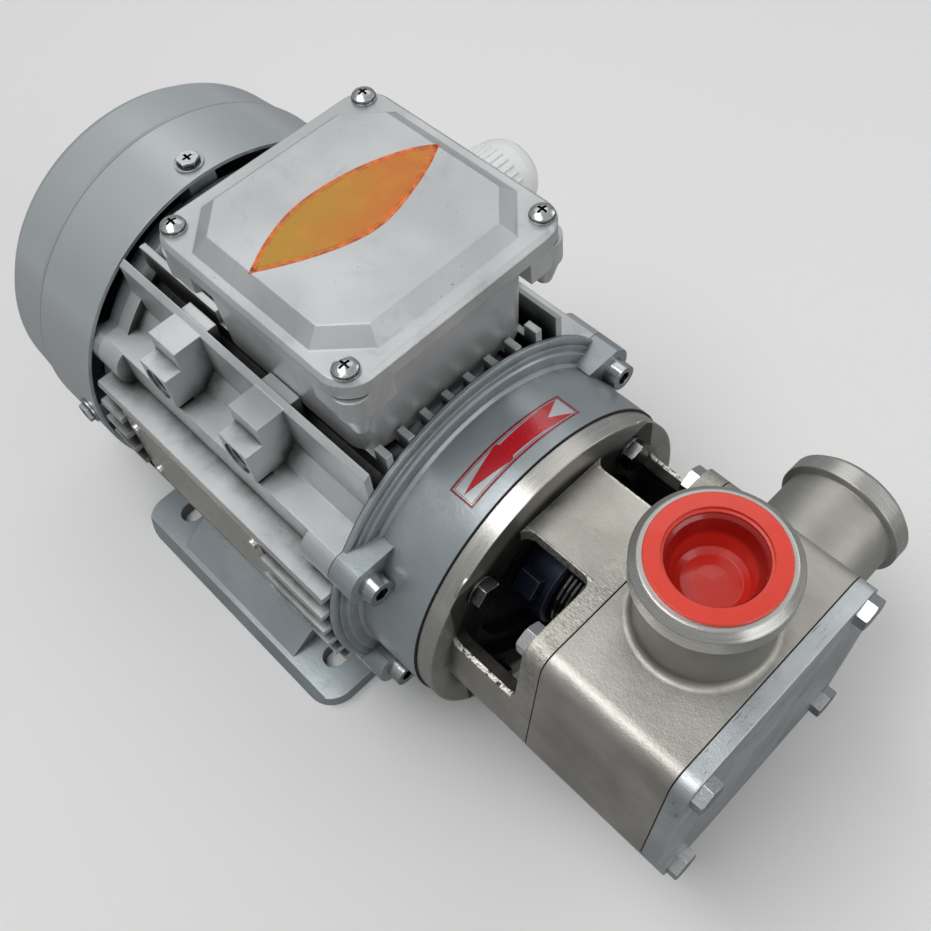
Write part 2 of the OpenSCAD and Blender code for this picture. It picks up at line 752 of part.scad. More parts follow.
// tapered body of the box, grown by g on each side
module box_shape(g, z0, z1) {
    hull() {
        translate([box_x, 0, z1 - 0.01]) linear_extrude(0.01)
            rounded_box(box_l + 2 * g, box_w + 2 * g, box_corner, $fn = 32);
        translate([box_x, 0, z0]) linear_extrude(0.01)
            rounded_box(box_l - 3 + 2 * g, box_w - 3 + 2 * g, box_corner, $fn = 32);
    }
}

module lid_screw_spots() {
    for (s = [-1, 1], t = [-1, 1])
        translate([lid_x + s * (lid_l / 2 - lid_screw_in), t * (lid_w / 2 - lid_screw_in)]) children();
}

// lug under one corner of the lid, with its tapered foot
module lid_lug() {
    cylinder(r = 6, h = lug_h, $fn = 32);
    translate([-11, -5.6, 0]) cube([11, 11.2, lug_h]);
    translate([-5.6, -11, 0]) cube([11.2, 11, lug_h]);
    translate([0, 0, -10]) cylinder(r1 = 2.6, r2 = 5.7, h = 10.5, $fn = 32);
}

module terminal_box() {
    color([0.68, 0.7, 0.72]) difference() {
        union() {
            difference() {
                box_shape(0, platform_z, box_top);
                box_shape(-box_wall, platform_z + 4, box_top + 1);
            }
            for (s = [-1, 1], t = [-1, 1]) translate([lid_x, 0, box_top - lug_h]) scale([s, t, 1])
                translate([lid_l / 2 - lid_screw_in, lid_w / 2 - lid_screw_in, 0]) lid_lug();
        }
        translate([0, 0, box_top - lug_h - 3]) lid_screw_spots() cylinder(r = 2.2, h = lug_h + 4, $fn = 24);
        translate([box_x, 0, platform_z - 1]) cylinder(r = lead_r, h = 6, $fn = 32);
        translate([gland_x, 0, gland_z]) rotate([-90, 0, 0]) cylinder(r = gland_r, h = box_w, $fn = 48);
    }
}

module box_gasket() {
    color([0.12, 0.12, 0.13]) translate([0, 0, box_top]) difference() {
        translate([lid_x, 0, 0]) linear_extrude(gasket_t) rounded_box(lid_l - 3, lid_w - 3, lid_corner - 1.5);
        translate([box_x, 0, -1]) linear_extrude(3) rounded_box(box_l - 24, box_w - 24, 5);
        lid_screw_spots() translate([0, 0, -1]) cylinder(r = 2.8, h = 3, $fn = 24);
    }
}

// octagonal panel of the lid, as half length, half width and cut of its corners
module octagon(l, w, c) {
    polygon([[-l, -w + c], [-l + c, -w], [l - c, -w], [l, -w + c], [l, w - c], [l - c, w], [-l + c, w], [-l, w - c]]);
}

module terminal_box_lid() {
    color([0.78, 0.79, 0.8]) difference() {
        union() {
            translate([lid_x, 0, lid_z]) {
                linear_extrude(lid_t - 1.4) rounded_box(lid_l, lid_w, lid_corner);
                hull() {
                    translate([0, 0, lid_t - 1.5]) linear_extrude(0.1) rounded_box(lid_l, lid_w, lid_corner, $fn = 32);
                    translate([0, 0, lid_t - 0.1]) linear_extrude(0.1)
                        rounded_box(lid_l - 2.8, lid_w - 2.8, lid_corner - 1.4, $fn = 32);
                }
                hull() {
                    translate([0, 0, lid_t - 0.1]) linear_extrude(0.1) octagon(lid_l / 2 - 5.8, lid_w / 2 - 4, 13.5);
                    translate([0, 0, lid_t + panel_h - 0.1]) linear_extrude(0.1)
                        octagon(lid_l / 2 - 10.7, lid_w / 2 - 9.3, 10.7);
                }
            }
        }
        translate([0, 0, lid_z - 1]) lid_screw_spots() cylinder(r = 2.8, h = lid_t + 2, $fn = 24);
        translate([box_x, 0, lid_z - 1]) linear_extrude(lid_t - 1.6) rounded_box(box_l - 26, box_w - 26, 5);
    }
}

module lid_screws() {
    color([0.7, 0.71, 0.72]) translate([0, 0, lid_z + lid_t]) lid_screw_spots() {
        translate([0, 0, 0.05]) cylinder(r = 4.2, h = 0.8, $fn = 48);
        translate([0, 0, 0.8]) pan_screw(2, 3.8, 2.4, lid_t + 10);
    }
}

module terminal_block() {
    color([0.16, 0.15, 0.15]) translate([box_x, 0, platform_z + 4]) difference() {
        translate([-block_l / 2, -block_w / 2, 0]) cube([block_l, block_w, block_h]);
        for (s = [-1, 1]) translate([s * block_slot_x - 4, 3 - block_w / 2, block_h / 2])
            cube([8, block_w - 6, block_h]);
        translate([0, 0, -1]) cylinder(r = lead_r - 2, h = block_h + 2, $fn = 32);
    }
}

module terminal_studs() {
    color([0.78, 0.6, 0.28]) for (s = [-1, 1], t = [-1, 1])
        translate([box_x + s * stud_x, t * (block_w / 2 - 4), platform_z + 4 + block_h]) {
            cylinder(r = 2, h = 9, $fn = 24);
            cylinder(r = 4, h = 3, $fn = 6);
        }
}

module gland_body() {
    color([0.86, 0.87, 0.88]) translate([gland_x, gland_y, gland_z]) rotate([-90, 0, 0]) difference() {
        union() {
            translate([0, 0, 0.3]) hex_head(13, 6);
            translate([0, 0, -8]) cylinder(r = gland_r - 0.15, h = 8.4, $fn = 48);
            cylinder(r = 9.4, h = 16, $fn = 48);
        }
        translate([0, 0, -9]) cylinder(r = 6.5, h = 30, $fn = 48);
    }
}

module gland_seal() {
    color([0.15, 0.15, 0.16]) translate([gland_x, gland_y + 16.1, gland_z]) rotate([-90, 0, 0]) difference() {
        cylinder(r = 8.6, h = 6, $fn = 48);
        translate([0, 0, -1]) cylinder(r = 5, h = 9, $fn = 48);
    }
}

module gland_nut() {
    color([0.88, 0.89, 0.9]) translate([gland_x, gland_y + 6.6, gland_z]) rotate([-90, 0, 0]) difference() {
        union() {
            rotate_extrude() polygon([[0, 0], [nut_r, 0], [nut_r, 14], [nut_r - 0.6, 17.4], [nut_r - 2, 20.4],
                [nut_r - 4.2, 22.6], [nut_r - 6, 23.5], [0, 23.5]]);
            for (i = [0:31]) rotate(i * 360 / 32) translate([nut_r, 0, 1]) cylinder(r = 0.6, h = 12, $fn = 12);
        }
        translate([0, 0, -1]) cylinder(r = 9.7, h = 17, $fn = 48);
        cylinder(r = 6, h = 30, $fn = 48);
    }
}

module casing_outline(inset = 0) {
    rounded(corners, casing_edge_r - inset);
}

// one window between two arms: the corner block outside them, with rounded ends
module window(sy, sz) {
    x0 = drum_x + lantern_flange_t;
    l = plate_x - x0;
    y0 = arm_w / 2 + (sz > 0 ? sy * arm_shift : 0);
    translate([x0, 0, shaft_h]) scale([1, sy, sz]) intersection() {
        translate([l / 2, y0 + 40, arm_w / 2]) linear_extrude(80) rounded_box(l, 80, 4);
        translate([l / 2, 100, arm_w / 2 + 40]) rotate([90, 0, 0]) linear_extrude(100) rounded_box(l, 80, 4);
    }
}

module lantern() {
    color([0.64, 0.64, 0.61]) difference() {
        union() {
            bar(drum_x, drum_x + lantern_flange_t, lantern_flange_r);
            along_x(drum_x + lantern_flange_t - 1, lantern_l - lantern_flange_t + 1) casing_outline();
        }
        intersection() {
            along_x(drum_x + lantern_flange_t, plate_x - drum_x - lantern_flange_t) casing_outline(arm_t);
            bar(drum_x, plate_x, casing_mid);
        }
        for (sy = [-1, 1], sz = [-1, 1]) window(sy, sz);
        bar(drum_x - 1, drum_x + lantern_flange_t + 1, spigot_r + 0.05);
        bar(plate_x - 1, lantern_x1 + 1, casing_spigot_r + clear);
        for (a = [45:90:315]) at_angle(a, flange_pcr, drum_x - 1) rotate([0, 90, 0])
            cylinder(r = hex6[0] + slip, h = lantern_flange_t + 2, $fn = 32);
        for (p = tie_points) rod(p, plate_x - 1, lantern_x1 + 1, hex6[0] + slip);
    }
}

module lantern_bolts() {
    color([0.74, 0.75, 0.76]) for (a = [45:90:315]) at_angle(a, flange_pcr, drum_x + lantern_flange_t)
        rotate([0, 90, 0]) {
            difference() {
                translate([0, 0, 0.05]) cylinder(r = 6, h = 1.2, $fn = 48);
                translate([0, 0, -1]) cylinder(r = 2, h = 3, $fn = 24);
            }
            translate([0, 0, 1.2]) hex_screw(hex6, 17);
        }
}

module pump_shaft() {
    color([0.16, 0.19, 0.27]) difference() {
        union() {
            turned(hub_x) polygon([[0, 0], [hub_r - 1, 0], [hub_r, 1], [hub_r, hub_l - 1], [hub_r - 1, hub_l],
                [seal_r, hub_l], [seal_r, journal_x - hub_x - 2], [journal_r, journal_x - hub_x - 2],
                [journal_r, nose_x - hub_x - 1], [journal_r - 1, nose_x - hub_x], [0, nose_x - hub_x]]);
        }
        bar(hub_x - 1, shaft_end_x + 0.5, drive_r + fit);
        translate([hub_x - 1, -rotor_key_w / 2 - fit, shaft_h]) cube([27, rotor_key_w + 2 * fit, drive_r + 2.6]);
        at_angle(140, 5, hub_x + hub_l / 2) rotate([-90, 0, 0]) cylinder(r = 3, h = hub_r, $fn = 32);
        translate([insert_x, -key_w / 2, shaft_h + journal_r - 2.5]) cube([insert_l, key_w, 10]);
    }
}

module hub_setscrew() {
    color([0.2, 0.24, 0.33]) at_angle(140, drive_r + 0.4, hub_x + hub_l / 2) rotate([-90, 0, 0]) {
        cylinder(r = 2.85, h = hub_r - drive_r, $fn = 32);
        translate([-4, -4, hub_r - drive_r - 0.2]) cube([8, 8, 5]);
    }
}

// coil of the seal spring, its points worked out along the helix
module seal_spring() {
    steps = 20;
    sides = 8;
    coil_r = seal_r + 2.6;
    rise = spring_l - 2 * spring_wire - 2 * clear;
    n = spring_turns * steps;
    points = [for (i = [0:n], k = [0:sides - 1])
        let (a = i * 360 / steps, b = k * 360 / sides, r = coil_r + spring_wire * cos(b))
        [i * rise / n + spring_wire * sin(b), r * cos(a), r * sin(a)]];
    sides_list = [for (i = [0:n - 1], k = [0:sides - 1])
        let (p = i * sides + k, q = i * sides + (k + 1) % sides) [p, q, q + sides, p + sides]];
    color([0.7, 0.71, 0.73]) translate([sleeve_x + spring_wire + clear, 0, shaft_h])
        polyhedron(points, concat(sides_list, [[for (k = [sides - 1:-1:0]) k]],
            [[for (k = [0:sides - 1]) n * sides + k]]));
}

module seal_ring() {
    color([0.25, 0.25, 0.27]) difference() {
        turned(ring_x) polygon([[0, 0], [seal_r + 4.5, 0], [seal_r + 4.5, 3], [seal_r + 3.6, 3.4],
            [seal_r + 3.6, 5], [seal_r + 4.5, 5.4], [seal_r + 4.5, ring_l - 1.5], [seal_r + 2.6, ring_l - 1.5],
            [seal_r + 2.6, ring_l], [0, ring_l]]);
        bar(ring_x - 1, ring_x + ring_l + 1, seal_r + fit);
    }
}

module seal_seat() {
    color([0.9, 0.89, 0.85]) tube(seat_x, seat_x + seat_l, seal_r + 0.5, seat_r);
}

// upright port: neck, rim with its chamfers, and the fillet where it leaves the casing
module port(reach, base) {
    rotate_extrude() polygon([[0, 0], [port_neck, 0], [port_neck, reach - port_rim_l - 1],
        [port_rim, reach - port_rim_l], [port_rim, reach - port_bevel], [port_rim - port_bevel, reach], [0, reach]]);
    translate([0, 0, base]) rotate_extrude() translate([port_neck - 0.01, 0]) difference() {
        square(port_fillet);
        translate([port_fillet, port_fillet]) circle(port_fillet);
    }
}

module pump_casing() {
    color([0.66, 0.66, 0.63]) difference() {
        union() {
            along_x(lantern_x1, casing_l) casing_outline();
            bar(plate_x + 0.5, lantern_x1 + 1, casing_spigot_r);
            translate([port_cx, 0, shaft_h]) port(port_up, casing_half_h);
            translate([port_cx, 0, shaft_h]) rotate([-90, 0, 0]) port(port_side, casing_mid);
        }
        bar(lantern_x1 + back_wall, casing_x1 + 1, chamber_r);
        bar(plate_x, lantern_x1 + back_wall + 1, seal_r + 1);
        bar(plate_x, seat_x + seat_l, seat_r + fit);
        translate([port_cx, 0, shaft_h + chamber_r - 12]) cylinder(r = port_bore, h = port_up);
        translate([port_cx, chamber_r - 12, shaft_h]) rotate([-90, 0, 0]) cylinder(r = port_bore, h = port_side);
        tube(casing_x1 - 2.4, casing_x1 + 1, chamber_r + 1.6, chamber_r + 5);
        for (p = tie_points) rod(p, lantern_x1 - 1, casing_x1 + 1, hex6[0] + slip);
        at_angle(cam_angle, cam_pin_r, lantern_x1 + 1) rotate([0, 90, 0]) cylinder(r = 1.5 + fit, h = 6, $fn = 24);
    }
}

cam_pin_r = chamber_r - 2.8;

module wear_plate() {
    color([0.75, 0.75, 0.73]) difference() {
        tube(chamber_x - wear_t, chamber_x, seal_r + 1, chamber_r - clear);
        at_angle(cam_angle, cam_pin_r, chamber_x - 4) rotate([0, 90, 0]) cylinder(r = 1.6, h = 8, $fn = 24);
    }
}

module cam() {
    color([0.75, 0.72, 0.62]) difference() {
        intersection() {
            bar(chamber_x, casing_x1 - clear, cam_r);
            at_angle(cam_angle, cam_centre, chamber_x - 1) rotate([0, 90, 0]) cylinder(r = cam_arc_r, h = casing_l);
        }
        at_angle(cam_angle, cam_pin_r, chamber_x - 1) rotate([0, 90, 0]) cylinder(r = 1.5 + fit, h = 7, $fn = 24);
    }
}

module cam_pin() {
    color([0.6, 0.6, 0.62]) at_angle(cam_angle, cam_pin_r, lantern_x1 + 1.2) rotate([0, 90, 0])
        cylinder(r = 1.5, h = back_wall + wear_t + 4, $fn = 24);
}

module impeller_insert() {
    color([0.7, 0.6, 0.35]) difference() {
        bar(insert_x, insert_x + insert_l, insert_r);
        bar(insert_x - 1, insert_x + insert_l + 1, journal_r + fit);
        translate([insert_x - 1, -key_w / 2 - fit, shaft_h]) cube([insert_l + 2, key_w + 2 * fit, journal_r + 2.6]);
        for (i = [0:11]) at_angle(i * 30 + 15, insert_r + 0.6, insert_x - 1) rotate([0, 90, 0])
            cylinder(r = 1.6, h = insert_l + 2, $fn = 24);
    }
}

module drive_key() {
    color([0.5, 0.5, 0.52]) translate([insert_x + clear, -key_w / 2 + fit, shaft_h + journal_r - 2.5 + fit])
        cube([insert_l - 2 * clear, key_w - 2 * fit, 5 - 2 * fit]);
}

// middle line of a vane at height u from 0 to 1: it leans back from the turning direction by lean degrees at its tip
function vane_point(a, tip, lean, u) =
    let (r = impeller_hub_r - 1 + (tip - impeller_hub_r + 1) * u, b = a - lean * u * u) [r * cos(b), r * sin(b)];

module vane(a, tip, lean) {
    n = 10;
    mid = [for (i = [0:n]) vane_point(a, tip, lean, i / n)];
    side = [for (i = [0:n]) let (d = unit(mid[min(i + 1, n)] - mid[max(i - 1, 0)]), f = 1 - 0.25 * sin(180 * i / n))
        [d[1], -d[0]] * vane_t / 2 * f];
    polygon(concat([for (i = [0:n]) mid[i] + side[i]], [for (i = [n:-1:0]) mid[i] - side[i]]));
    translate(mid[n]) circle(vane_t * 0.72);
}

module impeller() {
    tip = chamber_r - slip - vane_t * 0.72;
    pressed = chamber_r - cam_h - slip - vane_t * 0.72;
    color([0.1, 0.1, 0.11]) difference() {
        along_x(impeller_x, impeller_l) {
            circle(impeller_hub_r);
            for (i = [0:vanes - 1])
                vane(cam_angle + 24 + i * 360 / vanes, i == 0 ? pressed : tip, i == 0 ? 30 : 12);
        }
        difference() {
            bar(insert_x - slip, insert_x + insert_l + slip, insert_r + fit);
            for (i = [0:11]) at_angle(i * 30 + 15, insert_r + 0.6, insert_x) rotate([0, 90, 0])
                cylinder(r = 1.5, h = insert_l, $fn = 24);
        }
        bar(impeller_x - 1, impeller_x + impeller_l + 1, journal_r + 0.2);
    }
}

module cover_oring() {
    color([0.1, 0.1, 0.11]) turned(casing_x1 - 1.2) translate([chamber_r + 3.3, 0]) circle(1.15);
}

module pump_cover() {
    color([0.68, 0.68, 0.66]) difference() {
        along_x(casing_x1, cover_t) casing_outline();
        bar(casing_x1 - 1, casing_x1 + 2, journal_r + 1);
        for (p = tie_points) rod(p, casing_x1 - 1, cover_x1 + 1, hex6[0] + slip);
    }
}

module tie_bolts() {
    color([0.8, 0.81, 0.8]) for (p = tie_points)
        translate([cover_x1, p[0], shaft_h + p[1]]) rotate([0, 90, 0])
            hex_screw(hex6, cover_t + casing_l + lantern_plate_t + 5);
}

module tie_nuts() {
    color([0.8, 0.81, 0.8]) for (p = tie_points)
        translate([plate_x - slip, p[0], shaft_h + p[1]]) rotate([0, -90, 0]) difference() {
            hex_head(hex6[1], 4);
            translate([0, 0, -1]) cylinder(r = hex6[0], h = 6, $fn = 24);
        }
}

module port_plug() {
    top = port_up;
    color([0.86, 0.2, 0.14]) translate([port_cx, 0, shaft_h]) rotate_extrude()
        polygon([[0, top - 13.8], [5, top - 14], [8.7, top - 14.5], [10.6, top - 13.2], [13.4, top - 2.4],
            [14.4, top - 1.4], [14.4, top - 0.4], [15.2, top - 0.2], [15.2, top + 1], [port_bore + 2.3, top + 1],
            [port_bore + 2.6, top + 0.7], [port_bore + 2.6, top], [port_bore - slip, top],
            [port_bore - 1, top - 15.5], [port_bore - 2, top - 16.5], [0, top - 16.5]]);
}

motor_frame();
stator_core();
stator_windings();
rotor_core();
rotor_end_rings();
motor_shaft();
shaft_key();
front_bearing_outer();
front_bearing_inner();
front_bearing_balls();
rear_bearing_outer();
rear_bearing_inner();
rear_bearing_balls();
preload_washer();
front_end_shield();
rear_end_shield();
front_shield_screws();
rear_shield_screws();
shaft_seal();
cooling_fan();
fan_circlip();
fan_cowl();
cowl_screws();
foot_left();
foot_right();
foot_screws();
nameplate();
nameplate_rivets();
terminal_box();
box_gasket();
terminal_box_lid();
lid_screws();
terminal_block();
terminal_studs();
gland_body();
gland_seal();
gland_nut();
lantern();
lantern_bolts();
pump_shaft();
hub_setscrew();
seal_spring();
seal_ring();
seal_seat();
pump_casing();
wear_plate();
cam();
cam_pin();
impeller_insert();
drive_key();
impeller();
cover_oring();
pump_cover();
tie_bolts();
tie_nuts();
port_plug();
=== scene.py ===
import math

import bmesh
import bpy
from mathutils import Matrix, Vector


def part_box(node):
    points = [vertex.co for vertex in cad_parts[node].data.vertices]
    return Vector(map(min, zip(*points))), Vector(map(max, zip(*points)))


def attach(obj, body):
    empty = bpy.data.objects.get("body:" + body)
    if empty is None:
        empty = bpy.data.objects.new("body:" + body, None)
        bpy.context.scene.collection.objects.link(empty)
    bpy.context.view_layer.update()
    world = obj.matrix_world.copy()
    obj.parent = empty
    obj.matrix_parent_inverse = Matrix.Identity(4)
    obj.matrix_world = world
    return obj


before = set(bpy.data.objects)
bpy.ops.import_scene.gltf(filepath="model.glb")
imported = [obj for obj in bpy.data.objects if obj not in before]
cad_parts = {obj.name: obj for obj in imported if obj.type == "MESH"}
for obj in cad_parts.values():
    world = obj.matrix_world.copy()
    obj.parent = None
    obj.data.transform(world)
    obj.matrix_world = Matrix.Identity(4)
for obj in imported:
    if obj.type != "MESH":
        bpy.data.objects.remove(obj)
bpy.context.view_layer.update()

MM = 0.001


def sides(name, axis):
    """Where a node begins and ends along an axis, in millimetres to a hundredth."""
    return [round(corner["xyz".index(axis)] / MM, 2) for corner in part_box(name)]


# places along the shaft, in millimetres
COWL_STEP = sides("fan_cowl", "x")[0] + 30
FRAME_END = sides("motor_frame", "x")[1]
DRUM_END, LANTERN_END = sides("lantern", "x")
FLANGE_FACE = DRUM_END + 7.1
PLATE_FACE = LANTERN_END - 7.5
PORT_X = sum(sides("port_plug", "x")) / 2
CASING_END = sides("pump_casing", "x")[1]

# the shaft's height, the drum with the recess in its end face, and the flange's turned edge
AXIS = sum(sides("front_end_shield", "z")) / 2
DRUM_R, RECESS_R, EDGE_R = 62, 39.5, 60.5

# ports: where the necks leave the casing, their size, and the undersides of their rims,
# as heights for the upright port and as distances from the shaft for the side port
RIM_W = 9.2
NECK = sides("pump_cover", "z")[1] + 2
NECK_SIDE = sides("pump_cover", "y")[1] + 2
NECK_R = 22.5
RIM = sides("pump_casing", "z")[1] - RIM_W
RIM_SIDE = sides("pump_casing", "y")[1] - RIM_W

# the plug's bowl
BOWL_R = 14
BOWL_TOP = sides("port_plug", "z")[1] - 0.5

# the lantern: half an arm's width and how far the top one is off the middle, then its inside
ARM_HALF, ARM_SHIFT = 16, 2.4
INSIDE_HALF, INSIDE_TOP, INSIDE_LOW = 47.9, 121, 41.6
INSIDE_MIDDLE, INSIDE_HALF_H = 81.5, 40.1

# bare metal on the worn edges of painted castings and sheet
BARE = (0.70, 0.72, 0.73)

# the picture's width, the focal length and the middle of the view, in pixels
PICTURE, FOCAL, MIDDLE_X, MIDDLE_Y = 931, 1108.24, 476.06, 445.67


def placed(name, data):
    """A new object in the scene."""
    obj = bpy.data.objects.new(name, data)
    bpy.context.scene.collection.objects.link(obj)
    return obj


def set_camera():
    """The camera at the photo's angle."""
    right = Vector((0.70027015, 0.71032265, -0.0711579))
    up = Vector((-0.56789249, 0.61469286, 0.54740369))
    back = Vector((0.4325735, -0.34292043, 0.83383796))
    data = bpy.data.cameras.new("camera")
    data.sensor_width = 36
    data.lens = FOCAL / PICTURE * data.sensor_width
    data.shift_x = -(MIDDLE_X - PICTURE / 2) / PICTURE
    data.shift_y = (MIDDLE_Y - PICTURE / 2) / PICTURE
    data.clip_start = 0.01
    data.clip_end = 20
    camera = placed("camera", data)
    spot = Vector((189.85, -128.76, 432.45)) * MM
    turn = Matrix((right, up, back)).transposed().to_4x4()
    camera.matrix_world = Matrix.Translation(spot) @ turn
    bpy.context.scene.camera = camera


set_camera()


class Value:
    """A shader socket that takes part in plain arithmetic."""

    def __init__(self, tree, socket):
        self.tree = tree
        self.socket = socket

    def math(self, operation, *others, swapped=False):
        terms = [self, *others]
        if swapped:
            terms = [others[0], self]
        node = self.tree.node("ShaderNodeMath", {"operation": operation}, dict(enumerate(terms)))
        return Value(self.tree, node.outputs[0])

    def __add__(self, other):
        return self.math("ADD", other)

    def __radd__(self, other):
        return self.math("ADD", other)

    def __sub__(self, other):
        return self.math("SUBTRACT", other)

    def __rsub__(self, other):
        return self.math("SUBTRACT", other, swapped=True)

    def __mul__(self, other):
        return self.math("MULTIPLY", other)

    def __rmul__(self, other):
        return self.math("MULTIPLY", other)

    def __pow__(self, other):
        return self.math("POWER", other)

    def away(self, other):
        """Distance from a number or another value."""
        return (self - other).math("ABSOLUTE")

    def least(self, other):
        return self.math("MINIMUM", other)

    def most(self, other):
        return self.math("MAXIMUM", other)

    def step(self, low, high):
        """0 below low, 1 above high, smooth between; low may be the larger."""
        settings = {"interpolation_type": "SMOOTHSTEP", "clamp": True}
        inputs = {"Value": self, "From Min": low, "From Max": high}
        node = self.tree.node("ShaderNodeMapRange", settings, inputs)
        return Value(self.tree, node.outputs[0])


class Tree:
    """The nodes of a material or of the world."""

    def __init__(self, owner):
        owner.use_nodes = True
        self.nodes = owner.node_tree.nodes
        self.links = owner.node_tree.links

    def feed(self, socket, value):
        """Links an output to the socket, or sets the socket's own value."""
        if isinstance(value, Value):
            value = value.socket
        if isinstance(value, bpy.types.NodeSocket):
            self.links.new(value, socket)
        else:
            socket.default_value = value

    def node(self, kind, settings=None, inputs=None):
        """A new node: first its settings, a ramp's stops among them, then its values and links."""
        node = self.nodes.new(kind)
        for key, value in (settings or {}).items():
            if key == "stops":
                for stop, (at, colour) in zip(node.color_ramp.elements, value):
                    stop.position = at
                    stop.color = (*colour, 1)
            else:
                setattr(node, key, value)
        for key, value in (inputs or {}).items():
            self.feed(node.inputs[key], value)
        return node

    def blend(self, amount, first, second):
        """A colour that goes from first to second as amount goes from 0 to 1."""
        ends = [(*c, 1) if isinstance(c, tuple) and len(c) == 3 else c for c in (first, second)]
        settings = {"data_type": "RGBA", "clamp_factor": True}
        return self.node("ShaderNodeMix", settings, {0: amount, 6: ends[0], 7: ends[1]}).outputs[2]


class Finish(Tree):
    """One material: a Principled shader and the nodes that vary it."""

    def __init__(self, name, colour, rough, metal=0.0, **fixed):
        self.material = bpy.data.materials.new(name)
        super().__init__(self.material)
        self.shader = self.nodes["Principled BSDF"]
        self.set("Base Color", (*colour, 1))
        self.set("Roughness", rough)
        self.set("Metallic", metal)
        for key, value in fixed.items():
            self.set(key.replace("_", " ").title(), value)
        self.place = self.node("ShaderNodeTexCoord").outputs["Object"]
        parts = self.node("ShaderNodeSeparateXYZ", {}, {0: self.place})
        self.x, self.y, self.z = [Value(self, out) * 1000 for out in parts.outputs]

    def set(self, key, value):
        """Sets or links one socket of the shader."""
        self.feed(self.shader.inputs[key], value)

    def noise(self, size, detail=3.0, rough=0.55, stretch=(1, 1, 1), warp=0.0):
        """Noise from 0 to 1 whose grain is size millimetres, stretched along the row's axes."""
        scale = tuple(1 / s for s in stretch)
        spot = self.node("ShaderNodeMapping", {}, {"Vector": self.place, "Scale": scale})
        inputs = {"Vector": spot.outputs[0], "Scale": 1000 / size, "Detail": detail,
                  "Roughness": rough, "Distortion": warp}
        return Value(self, self.node("ShaderNodeTexNoise", {}, inputs).outputs[0])

    def shades(self, amount, colour, dark, light):
        """The colour from dark to light, both as shares of it."""
        lit = tuple(min(1, c * light) for c in colour)
        return self.blend(amount, tuple(c * dark for c in colour), lit)

    def edges(self, radius):
        """Normals that soften the sharp edges, and a mask that is 1 along them."""
        soft = self.node("ShaderNodeBevel", {"samples": 4}, {"Radius": radius * MM})
        plain = self.node("ShaderNodeNewGeometry")
        both = {0: soft.outputs[0], 1: plain.outputs["Normal"]}
        dot = self.node("ShaderNodeVectorMath", {"operation": "DOT_PRODUCT"}, both)
        return soft.outputs[0], Value(self, dot.outputs["Value"]).step(0.999, 0.8)

    def bump(self, height, depth, normal=None):
        """Relief of depth millimetres from a height between 0 and 1."""
        inputs = {"Height": height, "Distance": depth * MM, "Strength": 1.0}
        if normal is not None:
            inputs["Normal"] = normal
        return self.node("ShaderNodeBump", {}, inputs).outputs[0]

    def seam(self, along, spots, half):
        """1 in thin lines across one axis, where two parts meet; half is half a line's width."""
        lines = [along.away(spot).step(half, half * 0.4) for spot in spots]
        total = lines[0]
        for line in lines[1:]:
            total = total.most(line)
        return total

    def creases(self, reach):
        """1 in corners and narrow gaps, 0 in the open."""
        settings = {"samples": 6, "only_local": True}
        node = self.node("ShaderNodeAmbientOcclusion", settings, {"Distance": reach * MM})
        return 1 - Value(self, node.outputs["AO"])

    def crease_dirt_and_shade(self, reach, gain, grain, detail, uneven):
        """Dirt and painted shade in corners, its reach in millimetres, broken up by noise of a
        grain.
        """
        corners = self.creases(reach) * gain - 0.35
        return (corners + (self.noise(grain, detail) - 0.5) * uneven).step(0.15, 0.85)

    def from_shaft(self):
        """Distance from the shaft axis."""
        return (self.y * self.y + (self.z - AXIS) * (self.z - AXIS)) ** 0.5

    def from_top_port(self):
        """Distance from the axis of the upright port."""
        return ((self.x - PORT_X) * (self.x - PORT_X) + self.y * self.y) ** 0.5

    def from_side_port(self):
        """Distance from the axis of the side port."""
        return ((self.x - PORT_X) * (self.x - PORT_X) + (self.z - AXIS) * (self.z - AXIS)) ** 0.5

    def done(self, colour, rough, normal):
        """Sets what varies and gives the material."""
        self.set("Base Color", colour)
        self.set("Roughness", rough)
        self.set("Normal", normal)
        return self.material


def painted_cast(name, colour, grain, grime_and_shade, seams=(), metal=0.5, shade=None):
    """Silver enamel over a casting, its grain in millimetres; then the share of dirt and painted
    shade in corners; seams are joints across the shaft's direction and shade is a mask of painted
    shade."""
    f = Finish(name, colour, 0.34, metal, coat_weight=0.12, coat_roughness=0.2)
    normal, edge = f.edges(0.7)
    fine = f.noise(grain, 4)
    skin = f.noise(grain * 4, 3, 0.6)
    broad = f.noise(38, 2)
    specks = f.noise(1.3, 2, 0.5).step(0.70, 0.76) * f.noise(16, 2).step(0.45, 0.65)
    smears = f.noise(11, 5, 0.7, (1, 1, 2.2), 0.8).step(0.52, 0.75)
    # dirt, with painted shade where corners and gaps fall in shade
    dirt_and_shade = f.crease_dirt_and_shade(13, 2.1, 8, 3, 0.7)
    tint = f.shades(broad.step(0.3, 0.7), colour, 0.86, 1.09)
    tint = f.blend(smears * 0.3, tint, tuple(c * 0.55 for c in colour))
    tint = f.blend(edge * 0.45, tint, BARE)
    tint = f.blend(specks * 0.6, tint, (0.07, 0.07, 0.07))
    soil_and_shade = dirt_and_shade * grime_and_shade
    if seams:
        soil_and_shade = soil_and_shade.most(f.seam(f.x, seams, 0.4) * 0.95)
    if shade is not None:
        # painted shade where the mask says, such as the drum's face inside the lantern
        soil_and_shade = soil_and_shade.most(shade(f) * (0.86 + f.noise(8, 3) * 0.2))
    return f.done(f.blend(soil_and_shade, tint, (0.022, 0.021, 0.021)),
                  0.30 + fine * 0.10 + soil_and_shade * 0.3 + smears * 0.08,
                  f.bump(fine * 0.4 + skin * 0.6, 0.07 * grain, normal))


